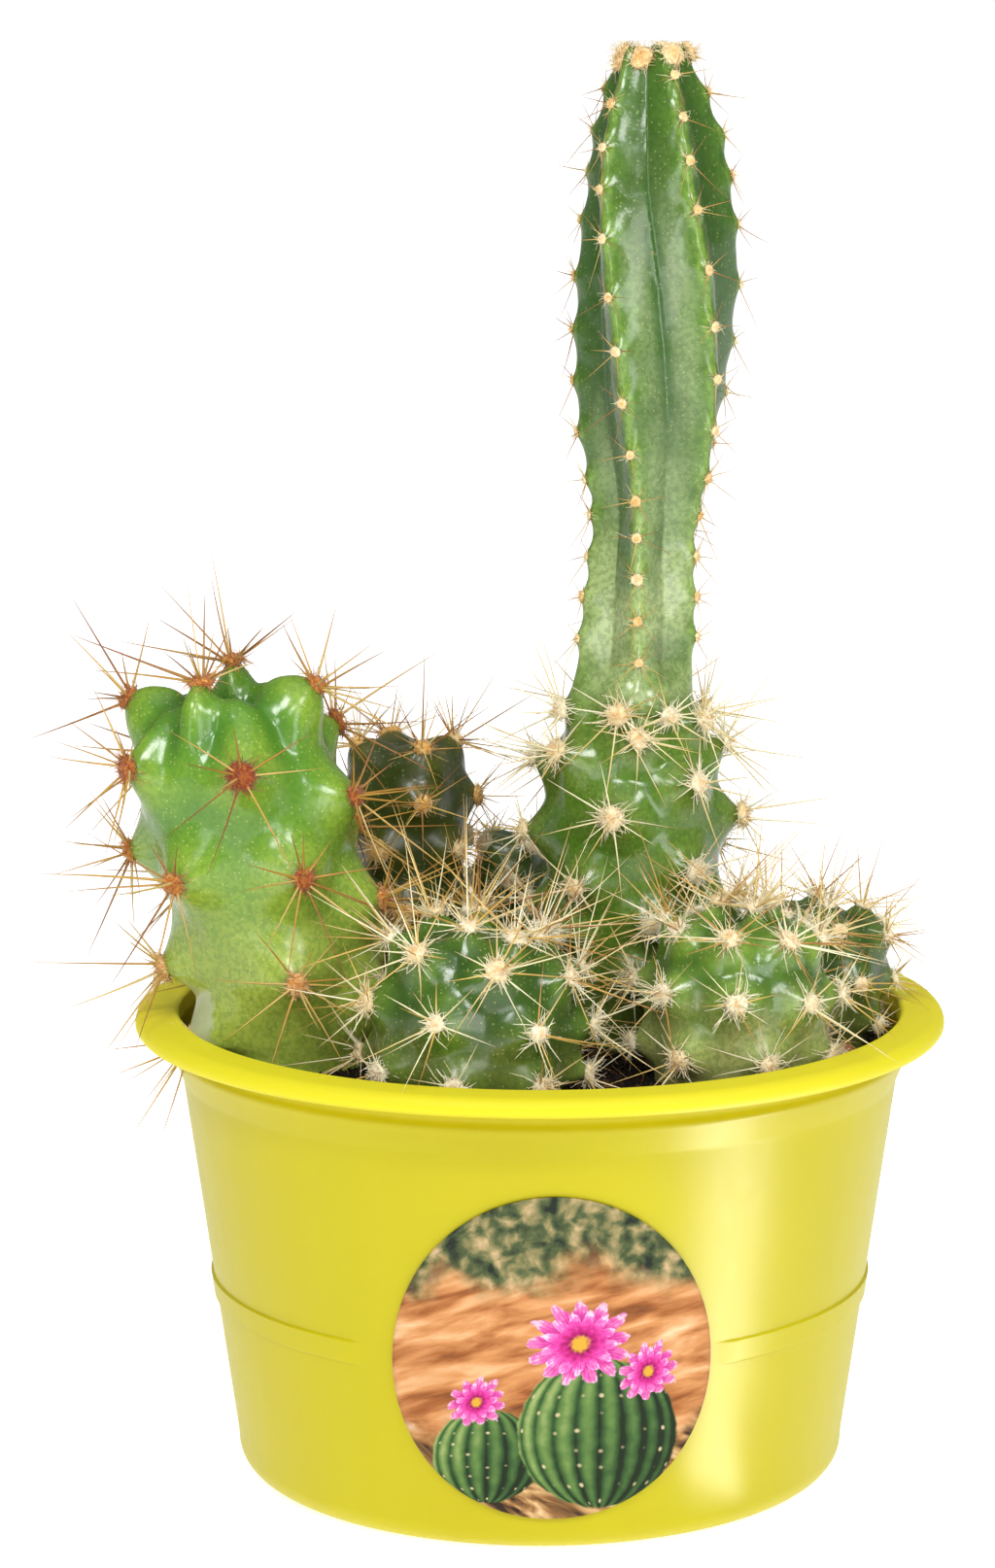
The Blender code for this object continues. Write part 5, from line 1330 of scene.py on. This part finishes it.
def spineHorn(name, pale, gold, brown, tip):
    # a hard spine like translucent horn: straw yellow to red brown, each one fading towards its point
    paint = Paint(name)
    along = paint.field("along")
    value = paint.field("tone") + (paint.noise(paint.spot, 420.0, 3.0) - 0.5) * 0.30 + (along - 0.45) * 0.22
    colour = paint.ramp(value, (0.12, pale), (0.48, gold), (0.84, brown))
    return paint.dress(
        BaseColor=paint.blend(paint.line(along, 0.72, 1.0, 0.0, 0.55), colour, tip), Roughness=0.38, IOR=1.54,
        SubsurfaceWeight=0.08, SubsurfaceRadius=(1.0, 0.7, 0.35), SubsurfaceScale=0.0006)


def areoleFelt(name, cool, middle, warm, core):
    # matted plant wool: dry, matt, lighter at the hair tips, with a stained middle; cream on young areoles,
    # rust on old ones
    paint = Paint(name)
    along, tuft = paint.field("along"), paint.noise(paint.spot, 2100.0, 4.0, 0.6)
    value = paint.field("warm") + (tuft - 0.5) * 1.5 - along * 0.22
    colour = paint.ramp(value, (0.06, cool), (0.42, middle), (0.88, warm))
    inner = paint.between(paint.field("rim") + (tuft - 0.5) * 1.6, 0.60, 0.15, 0.0, 0.5)
    colour = paint.blend(inner, colour, core)
    deep = paint.line(along, 0.0, 0.4, 0.18, 0.0)
    return paint.dress(
        BaseColor=paint.blend(deep, colour, "#7c5c1c", "MULTIPLY"), Roughness=0.85, SpecularIORLevel=0.25,
        SheenWeight=0.3, SheenRoughness=0.5, Normal=paint.bump(tuft, 0.6, 0.2))


skinColours = {
    "cactus_left": {"fold": "#3a701f", "flank": "#66922b", "swell": "#8dab36", "pale": "#bdc656",
                    "paleBelow": 38.0, "paleShare": 0.62,
                    "reach": (-0.55, 0.95), "specks": 0.32, "gloss": (0.15, 0.27),
                    "cork": ((-50.0, -13.0, 70.0), (4.5, 6.0, 6.5))},
    "cactus_tall": {"fold": "#29490f", "flank": "#547b25", "swell": "#748e36", "pale": "#70713a",
                    "paleBelow": 20.0, "paleShare": 0.45,
                    "reach": (-0.67, 0.76), "specks": 0.18, "gloss": (0.13, 0.24), "stem": "#a9b87f",
                    "crest": "#8fb552", "bloom": "#bcd294"},
    "cactus_front": {"fold": "#2b4a14", "flank": "#527523", "swell": "#799433", "pale": "#889045",
                     "paleBelow": 14.0, "paleShare": 0.45,
                     "reach": (0.02, 1.02), "specks": 0.25, "gloss": (0.13, 0.24)},
    "cactus_right": {"fold": "#3c6118", "flank": "#759838", "swell": "#a0b655", "pale": "#c4c07c",
                     "paleBelow": 16.0, "paleShare": 0.60,
                     "reach": (0.02, 1.02), "specks": 0.25, "gloss": (0.13, 0.24)},
    "cactus_right_back": {"fold": "#2f4a19", "flank": "#526d2a", "swell": "#75853c", "pale": "#8a8b49",
                          "paleBelow": 12.0, "paleShare": 0.4,
                          "reach": (0.02, 1.02), "specks": 0.2, "gloss": (0.16, 0.28)},
    "cactus_back": {"fold": "#2e3a12", "flank": "#4b5218", "swell": "#6e6824", "pale": "#6e5720",
                    "paleBelow": 18.0, "paleShare": 0.5,
                    "reach": (-0.10, 1.15), "specks": 0.18, "gloss": (0.24, 0.38)},
    "cactus_small": {"fold": "#3b5225", "flank": "#5a7235", "swell": "#7d904c", "pale": "#7d7f47",
                     "paleBelow": 12.0, "paleShare": 0.4,
                     "reach": (-0.10, 1.15), "specks": 0.18, "gloss": (0.26, 0.38)},
}


def makeCacti():
    wools, spines = areoleTree(), spineTree()
    goldHorn = spineHorn("goldSpineHorn", "#dfc683", "#c1933f", "#8a5226", "#7d4c26")
    strawHorn = spineHorn("strawSpineHorn", "#f8eec8", "#ddb660", "#945c2c", "#b98446")
    rustFelt = areoleFelt("rustFelt", "#f4dca2", "#d48a3a", "#8f4019", "#b8652a")
    creamFelt = areoleFelt("creamFelt", "#fff6d8", "#f9dfa6", "#d99c3e", "#eaa638")
    trees = {}
    for cactus in cacti:
        piece = makeSkin(cactus, waxySkin("waxySkin_" + cactus.facts["title"], skinColours[cactus.node]))
        trees[cactus.node] = BVHTree.FromObject(piece, bpy.context.evaluated_depsgraph_get())
    for name in ("yellowPot", "soilBed"):
        trees[name] = BVHTree.FromObject(bpy.data.objects[name], bpy.context.evaluated_depsgraph_get())
    total = 0
    for cactus in cacti:
        chance = random.Random(cactus.facts["seed"])
        left = cactus.node == "cactus_left"
        total += makeSpines(cactus, spines, trees, goldHorn if left else strawHorn, chance)
        makeWool(cactus, wools, rustFelt if left else creamFelt, chance)
    print("cacti grown with", total, "spines")


shell = makePot()
for name in ("potStripNear", "potStripMiddle", "potStripFar", "frontBox", "leftPanel", "rightPanel"):
    lamp(name, shell)
makeSticker()
makeSoil()
makeBark()
makeCacti()
